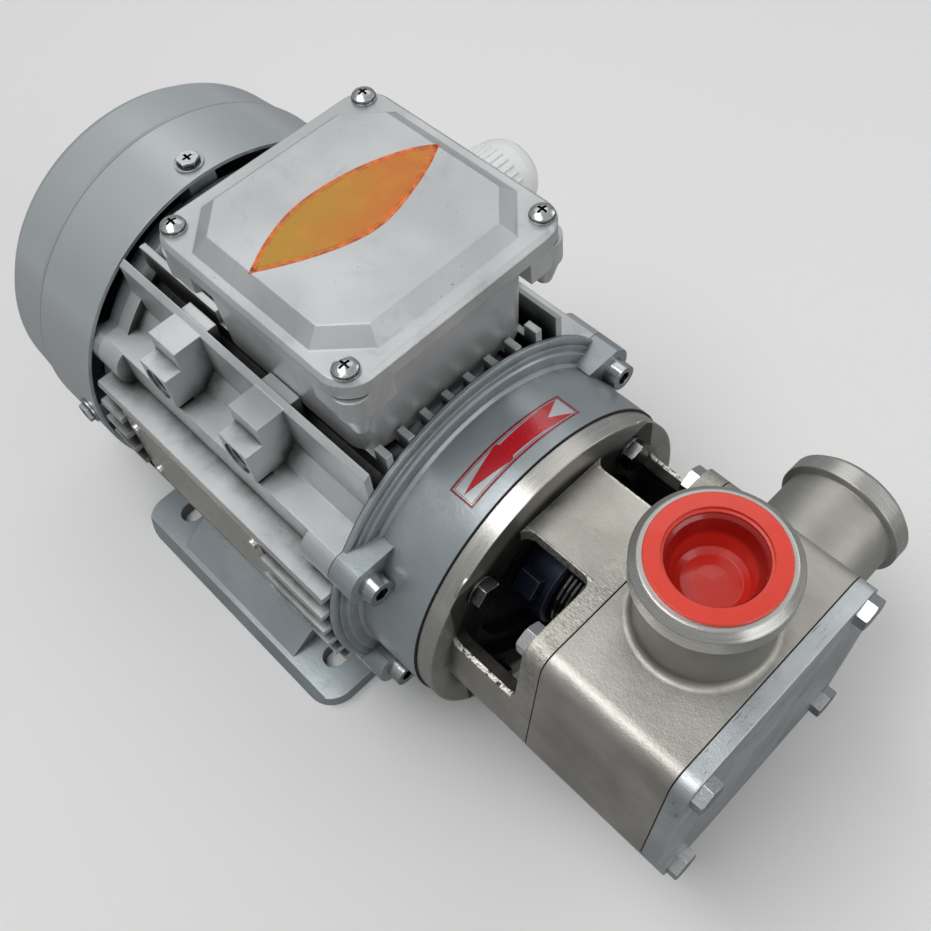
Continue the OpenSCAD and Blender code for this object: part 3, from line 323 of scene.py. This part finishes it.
def smooth_paint(name, colour, folds):
    """Enamel on sheet metal, with a faint orange peel; folds are pressed steps across the shaft,
    each darkened by a line of painted shade.
    """
    f = Finish(name, colour, 0.3, 0.45, coat_weight=0.25, coat_roughness=0.18)
    normal, edge = f.edges(0.5)
    peel = f.noise(2.4, 2, 0.4)
    broad = f.noise(45, 3)
    scuffs = f.noise(1.2, 5, 0.75, (9, 1, 1)).step(0.66, 0.8) * f.noise(20, 2).step(0.5, 0.7)
    specks = f.noise(1.5, 2, 0.5).step(0.72, 0.78) * f.noise(22, 2).step(0.5, 0.65)
    # dirt, with painted shade where corners and gaps fall in shade
    dirt_and_shade = f.crease_dirt_and_shade(6, 1.6, 8, 4, 0.8)
    tint = f.shades(broad, colour, 0.92, 1.05)
    tint = f.blend(scuffs * 0.35, tint, (0.30, 0.31, 0.32))
    tint = f.blend(edge * 0.35, tint, BARE)
    tint = f.blend(specks * 0.5, tint, (0.09, 0.09, 0.09))
    # dirt and painted shade in corners, and a line of painted shade along each fold
    soil_and_shade = (dirt_and_shade * 0.6).most(f.seam(f.x, folds, 0.5) * 0.5)
    return f.done(f.blend(soil_and_shade, tint, (0.03, 0.03, 0.03)),
                  0.25 + broad * 0.12 + scuffs * 0.15 + dirt_and_shade * 0.2, f.bump(peel, 0.03, normal))


def cast_steel(name, colour, turned=None, seams=(), chipped=None, shade=None, raked=None,
               scratched=0.0):
    """Blasted cast stainless steel. turned gives a mask where the surface is machined and its
    lines, seams are joints across the shaft's direction, chipped is a mask of broken edges, shade
    is a mask of painted shade, raked of file marks, and scratched the share of long dark scratches."""
    f = Finish(name, colour, 0.42, 0.85)
    normal, edge = f.edges(0.8)
    grit = f.noise(0.55, 3, 0.6)
    pores = f.noise(2.6, 6, 0.75)
    broad = f.noise(26, 3)
    pits = pores.step(0.36, 0.27)
    specks = f.noise(1.0, 2, 0.5).step(0.70, 0.75) * f.noise(13, 2).step(0.5, 0.62)
    smears = f.noise(9, 5, 0.7, (2, 1, 1), 0.6).step(0.5, 0.78)
    # dirt, with painted shade where corners and gaps fall in shade
    dirt_and_shade = f.crease_dirt_and_shade(9, 2.1, 7, 4, 1.1)
    tint = f.shades(broad.step(0.3, 0.7), colour, 0.82, 1.14)
    tint = f.blend(smears * 0.35, tint, tuple(c * 0.5 for c in colour))
    tint = f.blend(pits * 0.6, tint, (0.13, 0.126, 0.116))
    tint = f.blend(edge * 0.5, tint, (0.78, 0.77, 0.74))
    tint = f.blend(specks * 0.7, tint, (0.05, 0.05, 0.045))
    rough = 0.34 + grit * 0.14 + dirt_and_shade * 0.2
    relief = grit * 0.4 + pores * 0.6
    if chipped is not None:
        broken = chipped(f)
        hammered = f.noise(1.7, 3, 0.6)
        tint = f.blend(broken * hammered.step(0.44, 0.54), tint, (0.84, 0.83, 0.77))
        tint = f.blend(broken * hammered.step(0.46, 0.38), tint, (0.035, 0.033, 0.03))
        relief = relief + hammered * broken * 3.5
        rough = rough + broken * 0.1
    if raked is not None:
        band = raked(f)
        upward = f.noise(1.1, 3, 0.6, (1, 0.35, 3), 0.6)
        lengthwise = f.noise(0.9, 3, 0.6, (3, 0.5, 1), 0.6)
        strokes = upward * 0.5 + lengthwise * 0.5
        tint = f.blend(band * strokes.step(0.52, 0.38) * 0.65, tint, (0.10, 0.096, 0.085))
        tint = f.blend(band * strokes.step(0.52, 0.64) * 0.5, tint, (0.72, 0.71, 0.65))
        relief = relief + strokes * band * 2.2
    if scratched:
        long = f.noise(1.5, 4, 0.7, (1, 26, 1.2), 0.5).step(0.60, 0.66)
        long = long * f.noise(15, 2).step(0.42, 0.6)
        slant = f.noise(1.3, 4, 0.7, (1, 9, 5), 0.9).step(0.63, 0.68)
        slant = slant * f.noise(11, 2).step(0.45, 0.6)
        marks = long.most(slant)
        tint = f.blend(marks * scratched, tint, (0.045, 0.048, 0.05))
        relief = relief - marks * 0.5
    if turned is not None:
        mask, lines = turned(f)
        tint = f.blend(mask, tint, f.blend(lines, (0.34, 0.335, 0.315), (0.56, 0.555, 0.53)))
        rough = rough * (1 - mask) + (0.2 + lines * 0.12) * mask
        relief = relief * (1 - mask) + lines * mask * 0.12
    soil_and_shade = dirt_and_shade * 0.85
    if seams:
        joint = f.seam(f.x, seams, 0.28)
        soil_and_shade = soil_and_shade.most(joint)
        relief = relief - joint * 1.5
    if shade is not None:
        # painted shade, darkening hollows where little light reaches
        painted_shade = shade(f)
        soil_and_shade = soil_and_shade.most(painted_shade * (0.86 + f.noise(8, 3) * 0.2))
        rough = rough + painted_shade * 0.25
    return f.done(f.blend(soil_and_shade, tint, (0.018, 0.017, 0.016)), rough, f.bump(relief, 0.2, normal))


def port_marks(f):
    """Turned rims of the two ports: fine rings across each port's axis."""
    upright = f.z.step(NECK - 0.5, NECK + 0.5)
    sideways = f.y.step(NECK_SIDE - 0.5, NECK_SIDE + 0.5)
    rings = (f.noise(0.35, 2, 0.5, (60, 60, 1)) * upright
             + f.noise(0.35, 2, 0.5, (60, 1, 60)) * (1 - upright))
    rim = f.z.step(RIM - 0.6, RIM).most(f.y.step(RIM_SIDE - 0.6, RIM_SIDE))
    return upright.most(sideways) * (0.35 + rim * 0.6), rings


def flange_marks(f):
    """Turned edge of the lantern's flange."""
    rim = f.x.step(FLANGE_FACE + 0.2, FLANGE_FACE - 0.1)
    rim = rim * f.from_shaft().step(EDGE_R - 0.3, EDGE_R + 0.3)
    return rim * 0.9, f.noise(0.3, 2, 0.5, (1, 60, 60))


def hollow_shade(f):
    """1 on the walls inside the lantern and the flange's face within it, painted near black as
    shade.
    """
    wide = f.y.away(0).step(INSIDE_HALF + 0.4, INSIDE_HALF - 0.2)
    high = f.z.away(INSIDE_MIDDLE).step(INSIDE_HALF_H + 0.3, INSIDE_HALF_H - 0.2)
    front = f.x.step(PLATE_FACE + 0.3, PLATE_FACE - 0.2)
    inside = wide * high * f.x.step(FLANGE_FACE - 0.3, FLANGE_FACE + 0.1) * front
    flange = f.from_shaft().step(55.5, 50) * f.x.step(FLANGE_FACE + 0.25, FLANGE_FACE + 0.15)
    return inside.most(flange * f.x.step(DRUM_END + 0.6, DRUM_END + 1.6))


def filed(f):
    """1 on the band of file marks beside the casing's joint, weaker down the sides."""
    patchy = 0.6 + f.noise(9, 2).step(0.35, 0.6) * 0.4
    height = 0.3 + f.z.step(AXIS + 20, INSIDE_TOP) * 0.55
    return f.x.step(PLATE_FACE - 2, PLATE_FACE) * height * patchy


def window_rims(f):
    """1 on the rough cut faces of the lantern's arms, along its windows."""
    near, far = ARM_SHIFT - ARM_HALF, ARM_SHIFT + ARM_HALF
    side = f.z.away(AXIS).away(ARM_HALF).step(0.7, 0.3)
    side = side * f.y.away(0).step(INSIDE_HALF - 0.3, INSIDE_HALF + 0.3)
    over = f.y.away(near).least(f.y.away(far)).step(0.7, 0.3)
    over = over * f.z.step(INSIDE_TOP - 0.6, INSIDE_TOP)
    under = f.y.away(0).away(ARM_HALF).step(0.7, 0.3) * f.z.step(INSIDE_LOW + 0.6, INSIDE_LOW)
    rims = side.most(over * 0.45).most(under)
    rims = rims * f.x.step(FLANGE_FACE - 0.1, FLANGE_FACE + 0.3)
    return rims * f.x.step(PLATE_FACE + 0.5, PLATE_FACE - 0.5)


def neck_shade(f):
    """Painted shade on the necks of both ports, below their rims."""
    upright = f.from_top_port().step(NECK_R + 1.5, NECK_R) * f.z.step(NECK - 3, NECK + 2)
    upright = upright * f.z.step(RIM + 0.6, RIM)
    sideways = f.from_side_port().step(NECK_R + 1.5, NECK_R)
    sideways = sideways * f.y.step(NECK_SIDE - 2, NECK_SIDE + 3)
    sideways = sideways * f.y.step(RIM_SIDE + 0.6, RIM_SIDE)
    return upright * 0.5 + sideways * 0.15


def drum_face_shade(f):
    """1 on the drum's end face inside the lantern, where shade is painted."""
    return f.from_shaft().step(RECESS_R + 1.5, RECESS_R) * f.x.step(DRUM_END - 2.4, DRUM_END - 0.9)


def ground_steel(name, colour=(0.62, 0.63, 0.65), grain=(1, 40, 40)):
    """Ground metal; its lines are stretched along the row's axes as grain says."""
    f = Finish(name, colour, 0.28, 1.0)
    normal, edge = f.edges(0.3)
    lines = f.noise(0.4, 3, 0.6, grain)
    stain = f.noise(9, 4).step(0.45, 0.75)
    return f.done(f.blend(stain * 0.3 + edge * 0.15, colour, tuple(c * 0.75 for c in colour)),
                  0.2 + lines * 0.18 + stain * 0.08, f.bump(lines, 0.01, normal))


def plated_screw(name, colour=(0.46, 0.475, 0.48)):
    """Zinc plated or stainless fastener, stained at random, with painted shade in its recesses."""
    f = Finish(name, colour, 0.28, 1.0)
    normal, edge = f.edges(0.3)
    stain = f.noise(1.6, 4).step(0.35, 0.85)
    # painted shade in the recesses
    dark = (f.creases(2.6) * 2.3 - 0.15).step(0.1, 0.8)
    tint = f.blend(stain * 0.35, colour, tuple(c * 0.6 for c in colour))
    tint = f.blend(edge * 0.6, tint, (0.88, 0.88, 0.88))
    return f.done(f.blend(dark * 0.95, tint, (0.015, 0.015, 0.015)),
                  0.2 + stain * 0.12, f.bump(stain, 0.02, normal))


def plastic(name, colour, rough, grain=0.8, depth=0.015):
    """Moulded plastic or rubber, its grain and the grain's depth in millimetres."""
    f = Finish(name, colour, rough, 0.0)
    normal, edge = f.edges(0.35)
    fine = f.noise(grain, 2)
    broad = f.noise(12, 3)
    tint = f.shades(broad, colour, 0.9, 1.06)
    return f.done(f.blend(edge * 0.25, tint, tuple(min(1, c * 1.15 + 0.02) for c in colour)),
                  rough - 0.06 + broad * 0.12, f.bump(fine, depth, normal))


def plug_plastic(name):
    """Glossy red plastic; painted shade darkens the bowl's walls, its floor stays nearly plain red.
    """
    f = Finish(name, (0.70, 0.03, 0.016), 0.24, 0.0, coat_weight=0.35)
    normal, edge = f.edges(0.5)
    # painted shade on the bowl's walls, the floor kept near plain red as lit
    bowl_shade = f.from_top_port().step(BOWL_R + 1.2, BOWL_R) * f.z.step(BOWL_TOP, BOWL_TOP - 2.5)
    floor = bowl_shade * f.z.step(BOWL_TOP - 7, BOWL_TOP - 9.5)
    broad = f.noise(9, 3)
    tint = f.blend(broad, (0.66, 0.030, 0.014), (0.76, 0.048, 0.022))
    tint = f.blend(bowl_shade, tint, f.blend(broad, (0.22, 0.004, 0.003), (0.34, 0.008, 0.005)))
    tint = f.blend(floor * 0.85, tint, (0.60, 0.022, 0.010))
    return f.done(f.blend(edge * 0.3, tint, (0.80, 0.10, 0.06)),
                  0.2 + broad * 0.1, f.bump(f.noise(1.6, 2), 0.03, normal))


def laminations(name):
    """Stacked sheets across the shaft's direction."""
    f = Finish(name, (0.3, 0.31, 0.33), 0.45, 0.8)
    pitch = 0.8
    sheets = (f.x * (math.pi * 2 / pitch)).math("SINE").step(-0.4, 0.4)
    return f.done(f.blend(sheets, (0.12, 0.12, 0.13), (0.36, 0.37, 0.38)),
                  0.4 + sheets * 0.15, f.bump(sheets, 0.08))


def varnished_wire(name):
    """Windings that run round the shaft."""
    f = Finish(name, (0.5, 0.2, 0.07), 0.3, 0.6, coat_weight=0.4)
    inputs = {"Vector": f.place, "Scale": 260.0, "Distortion": 3.0, "Detail": 2.0,
              "Detail Scale": 3.0}
    turn = f.node("ShaderNodeTexWave", {"wave_type": "RINGS", "rings_direction": "X"}, inputs)
    strands = Value(f, turn.outputs["Fac"])
    return f.done(f.blend(strands, (0.20, 0.06, 0.02), (0.62, 0.27, 0.10)),
                  0.25 + strands * 0.15, f.bump(strands, 0.3))


# the frame and terminal box take the fullest painted shade in their corners and fin gaps
CASTING = painted_cast("frame_enamel", (0.50, 0.52, 0.525), 0.8, 1.0)
SHIELD = painted_cast("shield_enamel", (0.35, 0.39, 0.41), 1.4, 0.8, (FRAME_END, DRUM_END),
                      metal=0.6, shade=drum_face_shade)
LID = painted_cast("lid_enamel", (0.46, 0.475, 0.48), 0.9, 0.5)
SHEET = smooth_paint("cowl_enamel", (0.44, 0.475, 0.49), (COWL_STEP,))
# the ports' necks get painted shade below their rims
BODY = cast_steel("pump_casting", (0.42, 0.41, 0.375), port_marks, (LANTERN_END, CASING_END),
                  shade=neck_shade)
LANTERN = cast_steel("lantern_casting", (0.42, 0.41, 0.37), flange_marks, (DRUM_END, LANTERN_END),
                     window_rims, hollow_shade, filed)
COVER = cast_steel("cover_casting", (0.50, 0.53, 0.55), seams=(CASING_END,), scratched=0.75)
SCREW = plated_screw("plated_screw")
# near-black screws: painted shade for the bolts deep inside the lantern
SHADED_SCREW = plated_screw("shaded_screw", (0.10, 0.10, 0.105))
SPRING = ground_steel("spring_steel", (0.20, 0.20, 0.205))
STEEL = ground_steel("ground_steel")
BRIGHT = ground_steel("bright_steel", (0.72, 0.72, 0.70))
SHAFT = painted_cast("shaft_enamel", (0.022, 0.032, 0.062), 0.7, 0.4)
RED = plug_plastic("red_plug")
PALE = plastic("pale_plastic", (0.74, 0.75, 0.75), 0.42)
DARK = plastic("dark_plastic", (0.03, 0.032, 0.035), 0.5)
RUBBER = plastic("black_rubber", (0.018, 0.018, 0.02), 0.62, 0.5, 0.03)
CARBON = plastic("carbon_ring", (0.03, 0.03, 0.033), 0.35)
CERAMIC = plastic("ceramic_seat", (0.8, 0.78, 0.72), 0.2)
BRASS = ground_steel("brass", (0.76, 0.55, 0.22))
COPPER = varnished_wire("varnished_wire")
SHEETS = laminations("laminations")
ALUMINIUM = ground_steel("cast_aluminium", (0.74, 0.75, 0.76), (1, 3, 3))
PLATE = ground_steel("plate_aluminium", (0.64, 0.61, 0.54), (30, 1, 30))

# the finish of each node; nodes that aren't named are of ground steel
FINISHES = {
    "motor_frame": CASTING, "front_end_shield": SHIELD, "rear_end_shield": SHIELD,
    "fan_cowl": SHEET, "foot_left": SHIELD, "foot_right": SHIELD, "nameplate": PLATE,
    "nameplate_rivets": ALUMINIUM, "terminal_box": CASTING, "terminal_box_lid": LID,
    "box_gasket": RUBBER, "terminal_block": DARK, "terminal_studs": BRASS, "gland_body": PALE,
    "gland_nut": PALE, "gland_seal": RUBBER, "stator_core": SHEETS, "rotor_core": SHEETS,
    "stator_windings": COPPER, "rotor_end_rings": ALUMINIUM, "shaft_seal": RUBBER,
    "cooling_fan": DARK, "lantern": LANTERN, "pump_casing": BODY, "pump_cover": COVER,
    "pump_shaft": SHAFT, "hub_setscrew": SHAFT, "seal_ring": CARBON, "seal_seat": CERAMIC,
    "seal_spring": SPRING, "wear_plate": BRIGHT, "cam": BRIGHT, "cam_pin": BRIGHT,
    "impeller_insert": BRASS, "drive_key": BRIGHT, "impeller": RUBBER, "cover_oring": RUBBER,
    "port_plug": RED, "front_shield_screws": SCREW, "rear_shield_screws": SCREW,
    "cowl_screws": SCREW, "foot_screws": SCREW, "lid_screws": SCREW, "lantern_bolts": SHADED_SCREW,
    "tie_bolts": SCREW, "tie_nuts": SCREW,
}


for node_name, node_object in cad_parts.items():
    node_object.data.materials.clear()
    node_object.data.materials.append(FINISHES.get(node_name, STEEL))


def mesh_from(name, bm):
    """A mesh from a bmesh; the bmesh is freed."""
    mesh = bpy.data.meshes.new(name)
    bm.to_mesh(mesh)
    bm.free()
    return mesh


def piece(name, bm, material, body="frame"):
    """A finished piece from a bmesh, riding on a body; edges over 30 degrees stay sharp."""
    bmesh.ops.recalc_face_normals(bm, faces=bm.faces[:])
    mesh = mesh_from(name, bm)
    mesh.shade_smooth()
    mesh.set_sharp_from_angle(angle=math.radians(30))
    mesh.materials.append(material)
    obj = placed(name, mesh)
    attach(obj, body)


def flat_shape(bm, outline, z=0.0):
    """One flat face from its corner points, in metres."""
    face = bm.faces.new([bm.verts.new((x, y, z)) for x, y in outline])
    face.normal_update()
    if face.normal.z < 0:
        face.normal_flip()
    return face


def sliced(bm, pitch, low, high):
    """Cuts a flat shape across y at even steps, so that it can be wrapped."""
    across = Vector((0, 1, 0))
    at = low + pitch
    while at < high:
        bmesh.ops.bisect_plane(bm, geom=bm.verts[:] + bm.edges[:] + bm.faces[:], dist=1e-7,
                               plane_co=across * at, plane_no=across)
        at += pitch


def wrapped(bm, radius):
    """Bends a flat shape round the shaft axis: x stays, y becomes the way round, z the height."""
    for v in bm.verts:
        turn = v.co.y / radius
        reach = radius + v.co.z
        v.co = Vector((v.co.x, -reach * math.sin(turn), AXIS * MM + reach * math.cos(turn)))


def framed(bm, face, line, even=True):
    """Leaves only a line round the edge of a flat face."""
    bmesh.ops.inset_region(bm, faces=[face], thickness=line, use_boundary=True,
                           use_even_offset=even)
    bmesh.ops.delete(bm, geom=[face], context="FACES")


def drum_label():
    """Turning direction label on the drum: a clear film with a border and an arrow."""
    radius, slice_w = DRUM_R * MM + 0.02 * MM, 2.2 * MM
    centre_x, width, length = 47.3 * MM, 10.0 * MM, 50.4 * MM
    film_t, ink_z, ink_t = 0.12 * MM, 0.14 * MM, 0.06 * MM
    x0, x1 = centre_x - width / 2, centre_x + width / 2
    y0, y1 = -length / 2, length / 2
    film = Finish("label_film", (0.50, 0.54, 0.56), 0.22, 0.35, coat_weight=0.5)
    film.set("Base Color", film.blend(film.noise(14, 2), (0.46, 0.51, 0.54), (0.56, 0.59, 0.60)))
    film.set("Roughness", 0.2 + film.noise(3, 3) * 0.08)
    red = Finish("label_red", (0.55, 0.01, 0.02), 0.22, 0.0, coat_weight=0.5)
    worn = red.noise(2.0, 5, 0.7).step(0.62, 0.74)
    ink = red.blend(red.noise(16, 2), (0.38, 0.003, 0.012), (0.62, 0.010, 0.02))
    red.set("Base Color", red.blend(worn * 0.3, ink, (0.45, 0.25, 0.26)))
    red.set("Roughness", 0.24 + worn * 0.25)
    wine = Finish("label_wine", (0.20, 0.008, 0.02), 0.25, 0.0, coat_weight=0.5)
    wine.set("Base Color", wine.blend(wine.noise(5, 4), (0.15, 0.006, 0.018), (0.34, 0.015, 0.03)))
    wine.set("Roughness", 0.22 + wine.noise(3, 2) * 0.1)

    bm = bmesh.new()
    flat_shape(bm, [(x0, y0), (x1, y0), (x1, y1), (x0, y1)])
    sliced(bm, slice_w, y0, y1)
    bmesh.ops.solidify(bm, geom=bm.faces[:], thickness=-film_t)
    wrapped(bm, radius)
    piece("drum_label_film", bm, film.material)

    bm = bmesh.new()
    for gap, line in ((0.0, 0.75 * MM), (1.05 * MM, 0.2 * MM)):
        corners = [(x0 + gap, y0 + gap), (x1 - gap, y0 + gap), (x1 - gap, y1 - gap),
                   (x0 + gap, y1 - gap)]
        framed(bm, flat_shape(bm, corners, ink_z), line)
    sliced(bm, slice_w, y0, y1)
    bmesh.ops.solidify(bm, geom=bm.faces[:], thickness=-ink_t)
    wrapped(bm, radius)
    piece("drum_label_border", bm, wine.material)

    bm = bmesh.new()
    tip, barb, tail = 0.47 * length, 0.1 * length, -0.46 * length
    half = 0.4 * width
    waist, shoulder, notch = half * 0.72, barb - 1.2 * MM, tail + 0.17 * length
    arrow = [(0, tip), (-half, barb), (-waist, shoulder), (-half, tail), (half * 0.1, notch),
             (half, tail), (waist, shoulder), (half, barb)]
    flat_shape(bm, [(centre_x + x, y) for x, y in arrow], ink_z)
    sliced(bm, slice_w, y0, y1)
    bmesh.ops.solidify(bm, geom=bm.faces[:], thickness=-ink_t)
    wrapped(bm, radius)
    piece("drum_label_arrow", bm, red.material)


def flowing(points):
    """Points along a smooth line through the given ones, in five parts from one to the next."""
    parts = 5
    points = [Vector(point) for point in points]
    ends = [points[0], *points, points[-1]]
    line = []
    for a, b, c, d in zip(ends, ends[1:], ends[2:], ends[3:]):
        for t in [k / parts for k in range(parts)]:
            line.append(0.5 * (2 * b + (c - a) * t + (2 * a - 5 * b + 4 * c - d) * t ** 2
                               + (3 * b - a - 3 * c + d) * t ** 3))
    return line + [points[-1]]


def lid_film():
    """Blank amber film on the lid; its two sides are given in millimetres along and across."""
    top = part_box("terminal_box_lid")[1].z
    film_z, film_t = 0.01 * MM, 0.03 * MM
    border_z, border_t = 0.045 * MM, 0.02 * MM
    rear = [(-20, -36.6), (-26.4, -25), (-30.4, -12.6), (-31, -1), (-29.5, 10.8), (-26.4, 21.5),
            (-22.3, 30.4), (-17.5, 36.9)]
    front = [(-17.5, 36.9), (-12.9, 28.4), (-8.9, 18), (-5.9, 7.5), (-5.2, -1), (-6.8, -9.4),
             (-10.2, -18.6), (-14.7, -27.6), (-20, -36.6)]
    outline = [tuple(point * MM) for point in flowing(rear)[:-1] + flowing(front)[:-1]]
    amber = Finish("amber_film", (0.50, 0.22, 0.01), 0.4, 0.0, coat_weight=0.08)
    across = (amber.x + 18) * 0.5 + (amber.y + 5) * 0.35
    across = (across + (amber.noise(24, 1) - 0.5) * 12).step(-11, 11)
    glow = amber.noise(9, 2).step(0.45, 0.7) * 0.35
    tint = amber.blend(across, (0.42, 0.215, 0.001), (0.52, 0.14, 0.001))
    amber.set("Base Color", amber.blend(glow, tint, (0.56, 0.25, 0.004)))
    amber.set("Roughness", 0.36 + amber.noise(4, 3) * 0.1)
    rust = Finish("amber_border", (0.5, 0.08, 0.01), 0.4)
    mottled = rust.noise(3, 4).step(0.35, 0.65)
    rust.set("Base Color", rust.blend(mottled, (0.40, 0.05, 0.003), (0.80, 0.17, 0.008)))
    rust.set("Roughness", 0.25 + rust.noise(2, 2) * 0.1)
    lift = Matrix.Translation((0, 0, top))
    bm = bmesh.new()
    flat_shape(bm, outline, film_z)
    bmesh.ops.solidify(bm, geom=bm.faces[:], thickness=-film_t)
    bmesh.ops.transform(bm, matrix=lift, verts=bm.verts[:])
    piece("lid_film", bm, amber.material)
    bm = bmesh.new()
    for gap, line in ((0.0, 1.0), (1.5, 0.3)):
        face = flat_shape(bm, outline, border_z)
        if gap:
            rim = bmesh.ops.inset_region(bm, faces=[face], thickness=gap * MM, use_boundary=True,
                                         use_even_offset=False)
            bmesh.ops.delete(bm, geom=rim["faces"], context="FACES")
        framed(bm, face, line * MM, False)
    bmesh.ops.solidify(bm, geom=bm.faces[:], thickness=-border_t)
    bmesh.ops.transform(bm, matrix=lift, verts=bm.verts[:])
    piece("lid_film_border", bm, rust.material)


drum_label()
lid_film()


def set_floor():
    """A pale floor that is dark to mirrors and shines at its far edge, like the surround."""
    bm = bmesh.new()
    bmesh.ops.create_circle(bm, cap_ends=True, segments=96, radius=8)
    floor = placed("floor", mesh_from("floor", bm))
    f = Finish("floor_finish", (0.78, 0.78, 0.775), 0.75)
    glossy = f.node("ShaderNodeLightPath").outputs["Is Glossy Ray"]
    pale = f.blend(f.noise(300, 2), (0.80, 0.80, 0.795), (0.825, 0.825, 0.82))
    f.set("Base Color", f.blend(Value(f, glossy) * 0.75, pale, (0.10, 0.10, 0.105)))
    f.set("Roughness", 0.72 + f.noise(90, 2) * 0.08)
    far = ((f.x * f.x + f.y * f.y) ** 0.5).step(500, 2600)
    f.set("Emission Color", f.blend(far, (0, 0, 0), (0.58, 0.58, 0.58)))
    f.set("Emission Strength", 1.0)
    floor.data.materials.append(f.material)


# soft lamps: name, place and width in metres, power in watts
LAMPS = (
    ("key", (-0.25, -0.4, 1.45), 1.1, 11),
    ("fill", (1.3, 0.15, 0.75), 1.2, 5),
    ("sheen", (-0.65, 0.6, 1.15), 1.3, 2.6),
    ("rim", (0.5, 1.3, 0.8), 0.9, 3),
)


def set_lamps():
    """Lamps that point at the middle of the object."""
    middle = Vector((0, 0, 0.09))
    for name, spot, size, power in LAMPS:
        data = bpy.data.lights.new(name, "AREA")
        data.shape = "RECTANGLE"
        data.size = size
        data.size_y = size * 0.6
        data.energy = power
        lamp = placed(name, data)
        lamp.location = spot
        lamp.rotation_euler = (middle - Vector(spot)).to_track_quat("-Z", "Y").to_euler()


def set_surround():
    """A pale surround, brighter to the camera and to mirrors than as a light."""
    light, seen, mirrored = 0.30, 0.9, 0.35
    world = bpy.data.worlds.new("surround")
    bpy.context.scene.world = world
    sky = Tree(world)
    rays = sky.node("ShaderNodeLightPath").outputs
    shown = Value(sky, rays["Is Camera Ray"]).most(rays["Is Transmission Ray"])
    level = sky.node("ShaderNodeMapRange", {}, {"Value": shown, "To Min": light, "To Max": seen})
    strength = Value(sky, rays["Is Glossy Ray"]).math("MULTIPLY_ADD", mirrored, level.outputs[0])
    direction = sky.node("ShaderNodeTexCoord").outputs["Generated"]
    height = sky.node("ShaderNodeSeparateXYZ", {}, {0: direction}).outputs["Z"]
    stops = ((0.0, (0.42, 0.43, 0.45)), (0.9, (1, 1, 1)))
    ramp = sky.node("ShaderNodeValToRGB", {"stops": stops}, {0: height})
    back = sky.nodes["Background"]
    sky.feed(back.inputs["Color"], sky.blend(shown, ramp.outputs[0], (0.93, 0.93, 0.93)))
    sky.feed(back.inputs["Strength"], strength)


set_floor()
set_lamps()
set_surround()
bpy.context.scene.view_settings.view_transform = "Standard"
